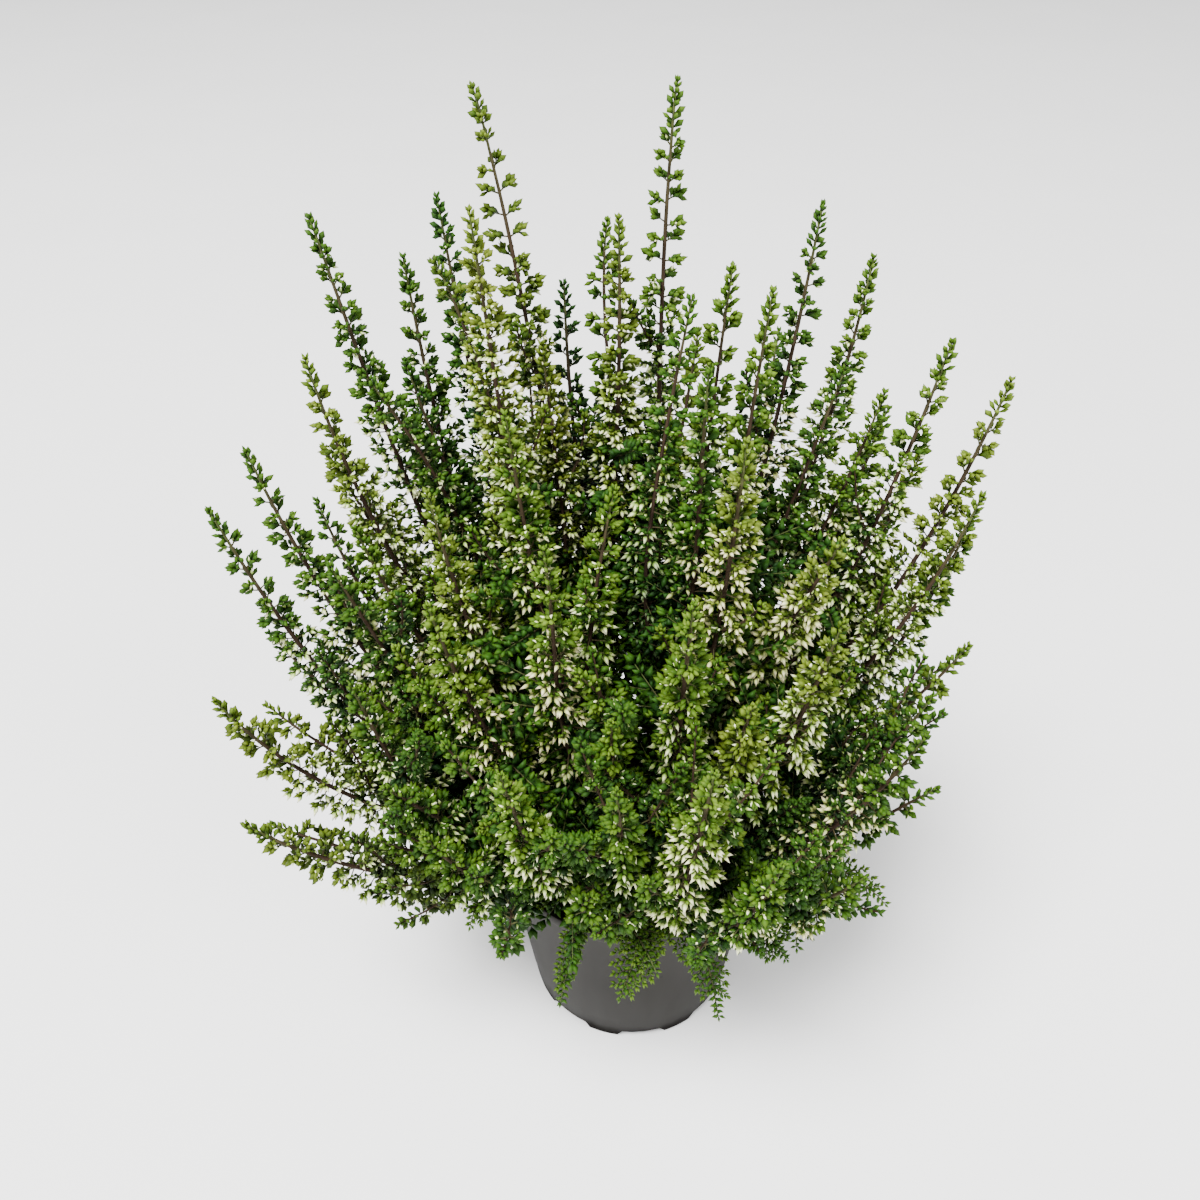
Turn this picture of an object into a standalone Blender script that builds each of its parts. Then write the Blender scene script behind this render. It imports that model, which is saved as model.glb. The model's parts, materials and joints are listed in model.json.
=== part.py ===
"""A bud-flowering heather in a grey plastic nursery pot.

The pot holds a plug of peat. Four woody crowns stand in plain holes in the peat and
branch low down. Each branch carries one flowering spray, a main spike with side
spikes, and the lowest branches carry leafy shoots that hang over the pot's rim.
Metres, +Z up, origin at the middle of the pot's base, on the surface it stands on.
The shoots are worked out in millimetres.
"""

import math
import random

import bmesh
import bpy
import numpy as np
from mathutils import Vector

MM = 0.001
GAP = 0.35
SEED = 11

# The pot, a tapered nursery pot of 11 cm.
POT_HEIGHT = 85.0
POT_RIM_RADIUS = 55.0
POT_BASE_RADIUS = 42.0
POT_WALL = 1.3
LIP_OUT = 1.0
LIP_HEIGHT = 4.0
FLOOR_TOP = 5.0
CHANNEL = 3.0
PAD_RADIUS = 14.0
FOOT_INNER = 33.0
POT_SIDES = 32
NOTCHES = 8
DRAIN_RADIUS = 3.5
DRAIN_CIRCLE = 25.0

# The peat and the crowns that stand in it.
PEAT_TOP = 76.0
PEAT_RISE = 3.0
PEAT_SIDES = 24
CROWNS = 4
CROWN_CIRCLE = 15.0
STUMP_RADIUS = 3.6
STUMP_DEPTH = 16.0
STUMP_RISE = 7.0
BRANCH_RADIUS = 1.5

# The shoots: how finely each is followed, and how wide each kind grows.
KNOTS = 16
FORK_AT = 0.2
FINE = 4
RELAX_ROUNDS = 60
ROOM_SEARCH = 30.0
TWIG_RADIUS = 1.1
MAIN_REACH = 12.5
SIDE_REACH = 9.5
LOW_SPRAY = 225.0
SHOOT_REACH = 5.5
CORE_SHARE = 0.40

# Where each main spike ends: bearing in degrees from +X, reach from the pot's axis
# and height above the ground in millimetres, and the share of its full width.
SPRAYS = (
    ("tall_back_left", 134, 68, 362, 0.72),
    ("tall_back", 83, 54, 362, 0.72),
    ("back_middle", 97, 40, 325, 0.8),
    ("back_left_1", 142, 80, 328, 0.75),
    ("back_left_2", 153, 86, 312, 0.72),
    ("back_left_3", 163, 102, 328, 0.8),
    ("bright_left", 168, 50, 338, 1.0),
    ("back_dark_1", 113, 74, 292, 0.8),
    ("middle_2", 17, 36, 314, 0.9),
    ("back_right_1", 35, 70, 328, 0.75),
    ("back_right_2", 27, 90, 310, 0.85),
    ("right_1", 9, 98, 296, 0.9),
    ("right_2", 2, 114, 286, 0.7),
    ("left_1", 177, 108, 290, 0.9),
    ("left_2", 185, 122, 270, 0.75),
    ("left_3", 187, 134, 254, 0.75),
    ("left_low_1", 176, 134, 180, 0.85),
    ("left_low_2", 196, 148, 192, 1.0),
    ("left_low_3", 205, 146, 158, 1.0),
    ("right_low_1", 337, 106, 196, 0.95),
    ("right_3", 356, 112, 250, 0.95),
    ("front_left_1", 183, 100, 236, 0.95),
    ("front_left_2", 199, 70, 262, 0.95),
    ("front_left_3", 216, 82, 240, 0.9),
    ("front_left_4", 206, 100, 208, 1.0),
    ("front_left_5", 228, 104, 172, 1.0),
    ("front_1", 250, 64, 264, 0.95),
    ("front_2", 247, 98, 210, 1.0),
    ("front_3", 265, 98, 206, 0.95),
    ("front_4", 279, 72, 255, 1.0),
    ("front_5", 280, 96, 222, 1.0),
    ("front_6", 292, 104, 186, 0.9),
    ("front_right_1", 311, 82, 240, 1.0),
    ("front_right_2", 326, 108, 198, 1.0),
    ("front_right_3", 308, 108, 160, 1.0),
    ("inner_1", 202, 44, 284, 1.0),
    ("inner_2", 315, 20, 298, 0.85),
    ("inner_3", 313, 44, 286, 1.0),
    ("rear_1", 12, 124, 222, 0.95),
    ("rear_2", 36, 118, 240, 0.95),
    ("rear_3", 60, 106, 262, 0.9),
    ("rear_4", 86, 106, 245, 0.95),
    ("rear_5", 112, 112, 250, 0.95),
    ("rear_6", 138, 118, 236, 0.95),
    ("rear_7", 160, 128, 216, 0.95),
    ("rear_low_1", 30, 122, 165, 1.0),
    ("rear_low_2", 75, 124, 170, 1.0),
    ("rear_low_3", 118, 126, 168, 1.0),
)

# The leafy shoots at the rim: bearing, reach and height of the longest of each fan.
SKIRTS = (
    ("skirt_front_left", 250, 82, 78),
    ("skirt_front_right", 291, 84, 72),
    ("skirt_right", 335, 104, 92),
    ("skirt_left", 200, 98, 100),
    ("skirt_back_right", 50, 96, 84),
    ("skirt_back_left", 125, 96, 84),
)
SKIRT_FAN = (-26, 26)

# Side spikes whose tips show on their own, placed as above. Other side spikes are drawn.
SIDE_TIPS = {
    "middle_2": (25, 30, 319),
    "inner_2": (27, 22, 310),
    "back_left_3": (167, 90, 282),
    "inner_1": (236, 24, 261),
    "inner_3": (325, 69, 256),
    "front_1": (244, 68, 222),
    "front_2": (238, 88, 160),
    "front_3": (258, 80, 154),
    "front_5": (285, 84, 158),
}

# How far a spike's clusters reach, as shares, along it from its foot to its tip.
WIDTH_PLACES = (0, 0.2, 0.42, 0.65, 0.88, 1)
WIDTH_SHARES = (0.3, 0.55, 1, 0.82, 0.58, 0.26)
BARE_SHARE = 0.22

FINISHES = {
    "pot": ((0.130, 0.120, 0.110), 0.5),
    "peat": ((0.022, 0.014, 0.009), 0.95),
    "wood": ((0.105, 0.060, 0.035), 0.8),
    "spray": ((0.250, 0.330, 0.100), 0.6),
    "shoot": ((0.090, 0.210, 0.035), 0.6),
}


def clear_scene():
    for obj in list(bpy.data.objects):
        bpy.data.objects.remove(obj)


def finish(name):
    """The material of one kind of piece."""
    material = bpy.data.materials.get(name)
    if material is None:
        colour, roughness = FINISHES[name]
        material = bpy.data.materials.new(name)
        material.use_nodes = True
        shader = material.node_tree.nodes["Principled BSDF"]
        shader.inputs["Base Color"].default_value = (*colour, 1)
        shader.inputs["Roughness"].default_value = roughness
        shader.inputs["Metallic"].default_value = 0
    return material


def new_object(name, points, faces, material):
    """An object from points in millimetres. Its faces are turned to point outwards."""
    mesh = bpy.data.meshes.new(name)
    shape = bmesh.new()
    corners = [shape.verts.new(Vector(point) * MM) for point in points]
    for face in faces:
        shape.faces.new([corners[i] for i in face])
    bmesh.ops.recalc_face_normals(shape, faces=shape.faces)
    shape.to_mesh(mesh)
    shape.free()
    obj = bpy.data.objects.new(name, mesh)
    obj.data.materials.append(finish(material))
    bpy.context.scene.collection.objects.link(obj)
    return obj


def turned(name, profile, sides, material, lift=None):
    """A solid turned from a profile that starts and ends on the axis. lift(radius, angle, z) moves a point."""
    points = [(0, 0, profile[0][1])]
    for radius, z in profile[1:-1]:
        for step in range(sides):
            angle = 2 * math.pi * step / sides
            height = lift(radius, angle, z) if lift else z
            points.append((radius * math.cos(angle), radius * math.sin(angle), height))
    points.append((0, 0, profile[-1][1]))
    last = len(points) - 1
    faces = []
    for step in range(sides):
        after = (step + 1) % sides
        faces.append((0, 1 + step, 1 + after))
        for ring in range(len(profile) - 3):
            low, high = 1 + ring * sides, 1 + (ring + 1) * sides
            faces.append((low + step, high + step, high + after, low + after))
        top = 1 + (len(profile) - 3) * sides
        faces.append((top + step, last, top + after))
    return new_object(name, points, faces, material)


def cut_or_join(obj, others, operation):
    """Applies one Boolean between obj and the others, and removes the others."""
    group = bpy.data.collections.new("boolean_others")
    for other in others:
        group.objects.link(other)
    modifier = obj.modifiers.new("boolean", "BOOLEAN")
    modifier.operation = operation
    modifier.operand_type = "COLLECTION"
    modifier.collection = group
    bpy.context.view_layer.update()
    graph = bpy.context.evaluated_depsgraph_get()
    made = bpy.data.meshes.new_from_object(obj.evaluated_get(graph))
    obj.modifiers.remove(modifier)
    obj.data = made
    for other in others:
        bpy.data.objects.remove(other)
    bpy.data.collections.remove(group)


def notch_lift(radius, angle, z):
    """Raises the foot ring of the pot to leave a water notch beside each drain hole."""
    step = round(angle / (2 * math.pi) * POT_SIDES) % (POT_SIDES // NOTCHES)
    in_notch = step in (0, 1)
    return CHANNEL if in_notch and z < CHANNEL and radius > PAD_RADIUS + 5 else z


def wall_radius(z):
    """The radius of the pot's outer wall at a height."""
    return POT_BASE_RADIUS + (POT_RIM_RADIUS - LIP_OUT - POT_BASE_RADIUS) * z / POT_HEIGHT


def make_pot():
    lip_foot = POT_HEIGHT - LIP_HEIGHT
    profile = (
        (0, 0),
        (PAD_RADIUS, 0),
        (PAD_RADIUS + 2, CHANNEL),
        (FOOT_INNER - 2, CHANNEL),
        (FOOT_INNER, 0),
        (POT_BASE_RADIUS, 0),
        (wall_radius(CHANNEL + 1.5), CHANNEL + 1.5),
        (wall_radius(lip_foot - 1), lip_foot - 1),
        (POT_RIM_RADIUS, lip_foot),
        (POT_RIM_RADIUS, POT_HEIGHT - 0.6),
        (POT_RIM_RADIUS - 0.7, POT_HEIGHT),
        (POT_RIM_RADIUS - LIP_OUT - POT_WALL, POT_HEIGHT),
        (wall_radius(FLOOR_TOP) - POT_WALL, FLOOR_TOP),
        (0, FLOOR_TOP),
    )
    pot = turned("pot", profile, POT_SIDES, "pot", notch_lift)
    drills = []
    for notch in range(NOTCHES):
        angle = 2 * math.pi * (notch / NOTCHES + 0.5 / POT_SIDES)
        drills.append(drill("drain", DRAIN_CIRCLE * math.cos(angle), DRAIN_CIRCLE * math.sin(angle),
                            DRAIN_RADIUS, -1, FLOOR_TOP + 1))
    cut_or_join(pot, drills, "DIFFERENCE")
    pot.data.shade_smooth()
    pot.data.set_sharp_from_angle(angle=math.radians(30))


def drill(name, x, y, radius, low, high, sides=8):
    """A plain upright cylinder."""
    return tube(name, np.array([(x, y, low), (x, y, high)]), (radius, radius), sides, "pot")


def crown_place(crown):
    """The middle of one crown's stump in the peat."""
    angle = 2 * math.pi * (crown + 0.5) / CROWNS
    return CROWN_CIRCLE * math.cos(angle), CROWN_CIRCLE * math.sin(angle)


def make_peat():
    rng = random.Random(SEED)
    inner = wall_radius(FLOOR_TOP) - POT_WALL - GAP
    slope = (POT_RIM_RADIUS - POT_BASE_RADIUS - LIP_OUT) / POT_HEIGHT
    outer = inner + slope * (PEAT_TOP - FLOOR_TOP)
    profile = (
        (0, FLOOR_TOP + GAP),
        (inner, FLOOR_TOP + GAP),
        (outer, PEAT_TOP),
        (outer * 0.8, PEAT_TOP + 1),
        (outer * 0.45, PEAT_TOP + PEAT_RISE),
        (0, PEAT_TOP + PEAT_RISE),
    )

    def crumbly(radius, angle, z):
        return z + rng.uniform(-1, 1) * (PEAT_TOP < z)

    peat = turned("peat", profile, PEAT_SIDES, "peat", crumbly)
    holes = [drill("hole", *crown_place(crown), STUMP_RADIUS + GAP, PEAT_TOP - STUMP_DEPTH - GAP, PEAT_TOP + 20)
             for crown in range(CROWNS)]
    cut_or_join(peat, holes, "DIFFERENCE")


def polar(bearing, reach, height):
    angle = math.radians(bearing)
    return np.array((reach * math.cos(angle), reach * math.sin(angle), height))


def arc(start, lift_point, end, count):
    """Points along a quadratic curve from start to end, drawn towards lift_point."""
    t = np.linspace(0, 1, count)[:, None]
    return (1 - t) ** 2 * start + 2 * t * (1 - t) * lift_point + t ** 2 * end


def spike_width(t, widest):
    """How far a flowering spike's clusters reach at t, from 0 at its foot to 1 at its tip."""
    return widest * np.interp(t, WIDTH_PLACES, WIDTH_SHARES)


class Strand:
    """One stem, from its root to its tip, with the width that it wants at each knot."""

    def __init__(self, name, points, bare, widest, kind, parent=None, fork=0):
        self.name = name
        self.kind = kind
        self.rest = points
        self.shift = np.zeros_like(points)
        self.bare = bare
        self.parent = parent
        self.fork = fork
        self.length = float(np.linalg.norm(np.diff(points, axis=0), axis=1).sum())
        along = np.linspace(0, 1, len(points))
        self.want = np.where(
            along < bare, TWIG_RADIUS + 0.3, spike_width((along - bare) / (1 - bare), widest)
        )
        self.want = np.maximum(self.want, TWIG_RADIUS + 0.3)
        self.crown = 0

    @property
    def points(self):
        return self.rest + self.shift


def grow_strands():
    """The main spikes, their side spikes and the leafy shoots, before they make room for each other."""
    rng = random.Random(SEED)
    strands = []
    for name, bearing, reach, height, width in SPRAYS:
        crown = int(bearing % 360 // (360 / CROWNS))
        root = np.array((*crown_place(crown), PEAT_TOP + STUMP_RISE - 1.0))
        tip = polar(bearing, reach, height)
        swell = root + (tip - root) * np.array((0.72, 0.72, 0.36))
        if height < LOW_SPRAY:
            swell = polar(bearing, 0.75 * reach, POT_HEIGHT + 22)
        main = Strand(name, arc(root, swell, tip, KNOTS), BARE_SHARE, MAIN_REACH * width, "spray")
        main.crown = crown
        strands.append(main)
        strands.append(side_strand(main, rng, SIDE_REACH * (0.5 + 0.5 * width)))
    for name, bearing, reach, height in SKIRTS:
        crown = int(bearing % 360 // (360 / CROWNS))
        root = np.array((*crown_place(crown), PEAT_TOP + STUMP_RISE - 1.0))
        tip = polar(bearing, reach, height)
        over_rim = polar(bearing, 0.72 * reach, POT_HEIGHT + 36)
        main = Strand(name, arc(root, over_rim, tip, KNOTS), 0.36, SHOOT_REACH, "shoot")
        main.crown = crown
        strands.append(main)
        for turn in SKIRT_FAN:
            fork = 6
            start = main.rest[fork]
            end = polar(bearing + turn, reach * rng.uniform(0.82, 0.95), height + rng.uniform(2, 14))
            bend = polar(bearing + turn * 0.7, 0.74 * reach, POT_HEIGHT + 26)
            strands.append(Strand(name, arc(start, bend, end, KNOTS * 2 // 3), 0.15, SHOOT_REACH, "shoot", main, fork))
    return strands


def side_strand(main, rng, widest):
    """A side spike that leaves its main stem and turns up beside it."""
    fork = rng.choice((5, 6, 7))
    start = main.rest[fork]
    along = main.rest[-1] - start
    length = np.linalg.norm(along)
    along = along / length
    sideways = np.cross(along, (0, 0, 1))
    sideways = sideways / np.linalg.norm(sideways)
    across = np.cross(sideways, along)
    turn = rng.choice((0, math.pi)) + rng.uniform(-0.7, 0.7)
    out = math.cos(turn) * sideways + math.sin(turn) * across
    end = start + along * length * rng.uniform(0.62, 0.78) + out * rng.uniform(20, 28)
    if main.name in SIDE_TIPS:
        end = polar(*SIDE_TIPS[main.name])
    bend = start + along * length * 0.25 + out * 17
    return Strand(main.name, arc(start, bend, end, KNOTS * 2 // 3), 0.2, widest, "spray", main, fork)


def keep_off_pot(points, want):
    """How far each point moves to lie clear of the pot and the peat."""
    out = np.linalg.norm(points[:, :2], axis=1)
    push = np.zeros_like(points)
    over_rim = (out > 40) & (out < POT_RIM_RADIUS + 1) & (points[:, 2] < POT_HEIGHT + 2 + want)
    push[over_rim, 2] = (POT_HEIGHT + 2 + want - points[:, 2])[over_rim]
    beside = (out >= POT_RIM_RADIUS + 1) & (points[:, 2] < POT_HEIGHT) & (out < POT_RIM_RADIUS + 1 + want)
    outward = points[:, :2] / np.maximum(out, 1)[:, None]
    push[beside, :2] = (outward * (POT_RIM_RADIUS + 1 + want - out)[:, None])[beside]
    return push


def near_pairs(strands):
    """The pairs of knots that may come too near each other, and the knots' own facts."""
    sizes = [len(strand.rest) for strand in strands]
    owner = np.repeat(np.arange(len(strands)), sizes)
    knot = np.concatenate([np.arange(size) for size in sizes])
    names = [strand.name for strand in strands]
    node = np.array([names.index(name) for name in names])[owner]
    is_main = np.array([strand.parent is None for strand in strands])[owner]
    crown = np.array([strand.crown for strand in strands])[owner]
    want = np.concatenate([strand.want for strand in strands])
    points = np.concatenate([strand.rest for strand in strands])
    distance = np.sqrt(((points[:, None] - points) ** 2).sum(axis=2))
    one, two = np.nonzero(np.triu(distance < want[:, None] + want + ROOM_SEARCH, 1))
    at_fork = (node[one] == node[two]) & ((~is_main[one] & (knot[one] < 3)) | (~is_main[two] & (knot[two] < 3)))
    in_crown = (crown[one] == crown[two]) & is_main[one] & is_main[two] & (knot[one] < 3) & (knot[two] < 3)
    kept = (owner[one] != owner[two]) & ~at_fork & ~in_crown
    free = np.clip(knot / np.where(is_main, 6, 3), 0, 1)
    return one[kept], two[kept], want, free


def make_room(strands):
    """Bends the strands apart until their widths fit, each round a little, and evenly along each strand."""
    one, two, want, free = near_pairs(strands)
    first = np.cumsum([0] + [len(strand.rest) for strand in strands])
    for _ in range(RELAX_ROUNDS):
        points = np.concatenate([strand.points for strand in strands])
        apart = points[one] - points[two]
        distance = np.linalg.norm(apart, axis=1) + 1e-6
        excess = np.maximum(want[one] + want[two] + GAP - distance, 0)
        force = apart * (0.22 * excess / distance)[:, None]
        push = 0.5 * keep_off_pot(points, want)
        for axis in range(3):
            push[:, axis] += np.bincount(one, force[:, axis], len(points))
            push[:, axis] -= np.bincount(two, force[:, axis], len(points))
        size = np.linalg.norm(push, axis=1, keepdims=True)
        push *= np.minimum(1, 2.5 / np.maximum(size, 1e-6)) * free[:, None]
        for index, strand in enumerate(strands):
            moved = strand.shift + push[first[index]:first[index + 1]]
            moved[0] = 0 if strand.parent is None else strand.parent.shift[strand.fork]
            even = moved.copy()
            even[1:-1] = 0.25 * moved[:-2] + 0.5 * moved[1:-1] + 0.25 * moved[2:]
            even[-1] = 0.5 * moved[-1] + 0.5 * moved[-2]
            strand.shift = even


def finer(values, times):
    """A row of points or widths followed times as finely, through a smooth curve."""
    count = len(values)
    position = np.linspace(0, count - 1, (count - 1) * times + 1)
    index = np.minimum(position.astype(int), count - 2)
    t = position - index
    if values.ndim > 1:
        t = t[:, None]
    before, here = values[np.maximum(index - 1, 0)], values[index]
    after, beyond = values[index + 1], values[np.minimum(index + 2, count - 1)]
    return 0.5 * (2 * here + (after - before) * t + (2 * before - 5 * here + 4 * after - beyond) * t ** 2
                  + (3 * here - before - 3 * after + beyond) * t ** 3)


def settle_widths(strands):
    """Follows each strand finely and narrows it where another node comes too near."""
    for strand in strands:
        strand.line = finer(strand.points, FINE)
        strand.width = np.maximum(finer(strand.want, FINE), TWIG_RADIUS)
    wanted = [strand.width.copy() for strand in strands]
    for index, strand in enumerate(strands):
        room = strand.width.copy()
        for other_index, other in enumerate(strands):
            if other.name == strand.name:
                continue
            distance = np.linalg.norm(strand.line[:, None] - other.line, axis=2) - 3 * GAP
            share = wanted[index][:, None] / (wanted[index][:, None] + wanted[other_index])
            room = np.minimum(room, (distance * share).min(axis=1))
        out = np.linalg.norm(strand.line[:, :2], axis=1)
        over = np.where(out < POT_RIM_RADIUS + 12, strand.line[:, 2] - POT_HEIGHT - GAP, 99)
        beside = np.where(out > POT_RIM_RADIUS, out - POT_RIM_RADIUS - GAP, over)
        room = np.minimum(room, np.where(out > 42, np.maximum(over, beside), strand.line[:, 2] - PEAT_TOP - 4))
        strand.width = np.clip(room, 0.62, None)


def frames(line):
    """The direction at each point of a line, and two directions across it that don't twist."""
    along = np.gradient(line, axis=0)
    along /= np.linalg.norm(along, axis=1, keepdims=True)
    across = np.cross(along[0], (0.3, 0.1, 1.0))
    first = []
    for direction in along:
        across = across - direction * (across @ direction)
        across = across / np.linalg.norm(across)
        first.append(across)
    first = np.array(first)
    return along, first, np.cross(along, first)


def at(values, position):
    """A value part of the way between two entries."""
    low = min(int(position), len(values) - 2)
    return values[low] + (values[low + 1] - values[low]) * (position - low)


def tube(name, line, radii, sides, material):
    """A closed tube round a line."""
    along, first, second = frames(line)
    points, faces = [], []
    for place, radius, u, v in zip(line, radii, first, second):
        for side in range(sides):
            angle = 2 * math.pi * side / sides
            points.append(place + radius * (math.cos(angle) * u + math.sin(angle) * v))
    for ring in range(len(line) - 1):
        for side in range(sides):
            a, b = ring * sides + side, ring * sides + (side + 1) % sides
            faces.append((a, b, b + sides, a + sides))
    faces.append(tuple(range(sides)))
    faces.append(tuple(range((len(line) - 1) * sides, len(line) * sides)))
    return new_object(name, points, faces, material)


def tufted(name, line, widths, start, sides, rows, material, stem_from=0.0):
    """A stem whose upper part bears rows of pointed clusters, each a low pyramid raised from the stem's surface.

    The rows are staggered, so that the clusters cover the stem. start is where they begin, as a share of the line.
    """
    along, first, second = frames(line)
    last = len(line) - 1
    points, faces = [], []

    def place(position, radius, angle, forward=0.0):
        u, v = at(first, position), at(second, position)
        centre = at(line, position) + forward * at(along, position)
        return centre + radius * (math.cos(angle) * u + math.sin(angle) * v)

    stem_rings = (stem_from, 0.5 * (stem_from + start))
    ring_positions = [share * last for share in stem_rings]
    ring_positions += [(start + (1 - start) * row / rows) * last for row in range(rows)]
    ring_radii = [TWIG_RADIUS * 0.9, TWIG_RADIUS * 0.9]
    ring_radii += [max(0.55, CORE_SHARE * at(widths, position)) for position in ring_positions[2:]]
    ring_radii[:2] = [min(radius, at(widths, position)) for radius, position in zip(ring_radii, ring_positions)]
    for ring, (position, radius) in enumerate(zip(ring_positions, ring_radii)):
        for side in range(sides):
            turn = side + 0.5 * (ring % 2)
            points.append(place(position, radius, 2 * math.pi * turn / sides))
    rings = len(ring_positions)

    def corner(ring, side):
        return ring * sides + side % sides

    faces.append(tuple(range(sides)))
    for ring in range(rings - 1):
        for side in range(sides):
            odd = ring % 2
            if ring < 2 or ring == rings - 2:
                faces.append((corner(ring + 1, side - 1 + odd), corner(ring + 1, side + odd), corner(ring, side)))
            if ring < 2:
                faces.append((corner(ring, side), corner(ring, side + 1), corner(ring + 1, side + odd)))
    for ring in range(2, rings - 2):
        for side in range(sides):
            odd = ring % 2
            low, high = corner(ring, side), corner(ring + 2, side)
            left, right = corner(ring + 1, side - 1 + odd), corner(ring + 1, side + odd)
            position = ring_positions[ring + 1]
            width = at(widths, position)
            share = (ring - 2) / (rings - 4)
            forward = width * (-0.25 + 0.75 * share)
            points.append(place(position, 0.93 * width, 2 * math.pi * (side + 0.5 * odd) / sides, forward))
            tip = len(points) - 1
            faces += [(low, right, tip), (right, high, tip), (high, left, tip), (left, low, tip)]
    for side in range(sides):
        odd = 2 % 2
        faces.append((corner(2, side), corner(2, side + 1), corner(3, side + odd)))
    points.append(line[-1])
    summit = len(points) - 1
    for side in range(sides):
        faces.append((corner(rings - 1, side), corner(rings - 1, side + 1), summit))
    return new_object(name, points, faces, material)


def make_sprays(strands):
    """Each named spray or fan of shoots as one solid, its stem cut off where the crown's branch ends."""
    by_name = {}
    for strand in strands:
        by_name.setdefault(strand.name, []).append(strand)
    for name, group in by_name.items():
        pieces = []
        for strand in group:
            main = strand.parent is None
            if strand.kind == "shoot":
                sides, rows = 4, 6
            else:
                sides, rows = (5, 7) if main else (4, 6)
            stem_from = FORK_AT + GAP / strand.length if main else 0.0
            pieces.append(tufted(name if main else "side", strand.line, strand.width, strand.bare,
                                 sides, rows, strand.kind, stem_from))
        cut_or_join(pieces[0], pieces[1:], "UNION")


def make_crowns(strands):
    """The woody crowns: a stump in the peat and a branch up to each spray."""
    for crown in range(CROWNS):
        x, y = crown_place(crown)
        stump = np.array([(x, y, PEAT_TOP - STUMP_DEPTH), (x, y, PEAT_TOP), (x, y, PEAT_TOP + STUMP_RISE)])
        trunk = tube(f"crown_{crown + 1}", stump, (STUMP_RADIUS * 0.7, STUMP_RADIUS, STUMP_RADIUS * 0.9), 8, "wood")
        branches = []
        for strand in strands:
            if strand.parent is None and strand.crown == crown:
                last = len(strand.line) - 1
                shares = np.linspace(0, FORK_AT, 3)
                line = np.array([at(strand.line, share * last) for share in shares])
                radii = np.interp(shares, (0, FORK_AT), (BRANCH_RADIUS, TWIG_RADIUS))
                branches.append(tube("branch", line, radii, 3, "wood"))
        cut_or_join(trunk, branches, "UNION")


def main():
    clear_scene()
    make_pot()
    make_peat()
    strands = grow_strands()
    make_room(strands)
    settle_widths(strands)
    make_crowns(strands)
    make_sprays(strands)


main()
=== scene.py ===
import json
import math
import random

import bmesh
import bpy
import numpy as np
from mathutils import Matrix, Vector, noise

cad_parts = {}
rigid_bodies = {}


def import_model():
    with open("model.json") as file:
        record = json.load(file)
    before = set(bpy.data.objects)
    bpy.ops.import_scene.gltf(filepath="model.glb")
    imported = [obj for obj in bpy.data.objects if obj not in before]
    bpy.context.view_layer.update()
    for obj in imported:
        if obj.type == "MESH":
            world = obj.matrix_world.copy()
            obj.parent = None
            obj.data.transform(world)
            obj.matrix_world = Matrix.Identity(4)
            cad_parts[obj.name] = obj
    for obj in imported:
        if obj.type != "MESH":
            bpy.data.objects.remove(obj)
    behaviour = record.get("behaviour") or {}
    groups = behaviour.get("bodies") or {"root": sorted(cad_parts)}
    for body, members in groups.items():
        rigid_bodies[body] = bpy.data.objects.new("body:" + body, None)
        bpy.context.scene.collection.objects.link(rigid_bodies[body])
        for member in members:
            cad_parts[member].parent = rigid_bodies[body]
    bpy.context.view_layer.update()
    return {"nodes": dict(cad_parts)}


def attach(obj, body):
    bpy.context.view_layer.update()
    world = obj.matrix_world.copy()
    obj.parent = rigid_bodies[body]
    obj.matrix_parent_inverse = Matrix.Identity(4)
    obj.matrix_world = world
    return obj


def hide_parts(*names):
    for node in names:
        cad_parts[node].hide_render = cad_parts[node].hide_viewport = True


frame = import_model()

# The finished look of a bud-flowering heather in a grey nursery pot.
#
# The shoots grow by the same rule and from the same table as the model's solids, so
# each finer piece keeps its node's place and form: a stem with short twigs that carry
# buds, knobs of scale leaves or small leaves, each a repeat that Geometry Nodes place.
# The shoots are worked out in millimetres, and the pieces are in metres.

MM = 0.001
GAP = 0.35
SEED = 11

# The pot.
POT_HEIGHT = 85.0
POT_RIM_RADIUS = 55.0
POT_BASE_RADIUS = 42.0
POT_WALL = 1.3
LIP_OUT = 1.0
LIP_HEIGHT = 4.0
FLOOR_TOP = 5.0
CHANNEL = 3.0
PAD_RADIUS = 14.0
FOOT_INNER = 33.0
POT_SIDES = 128
NOTCHES = 8

# The peat and the crowns that stand in it. The peat's dents and crumbs are each so high and so fine.
PEAT_TOP = 76.0
PEAT_RISE = 3.0
PEAT_SIDES = 96
PEAT_RINGS = 46
CRUMBS = ((1.5, 0.12), (0.9, 0.45), (0.5, 1.1))
CROWNS = 4
CROWN_CIRCLE = 15.0
STUMP_RISE = 7.0

# The shoots: how finely each is followed, and how wide each kind grows.
KNOTS = 16
FORK_AT = 0.2
FINE = 4
RELAX_ROUNDS = 60
ROOM_SEARCH = 30.0
TWIG_RADIUS = 1.1
MAIN_REACH = 12.5
SIDE_REACH = 9.5
LOW_SPRAY = 225.0
SHOOT_REACH = 5.5

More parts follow.
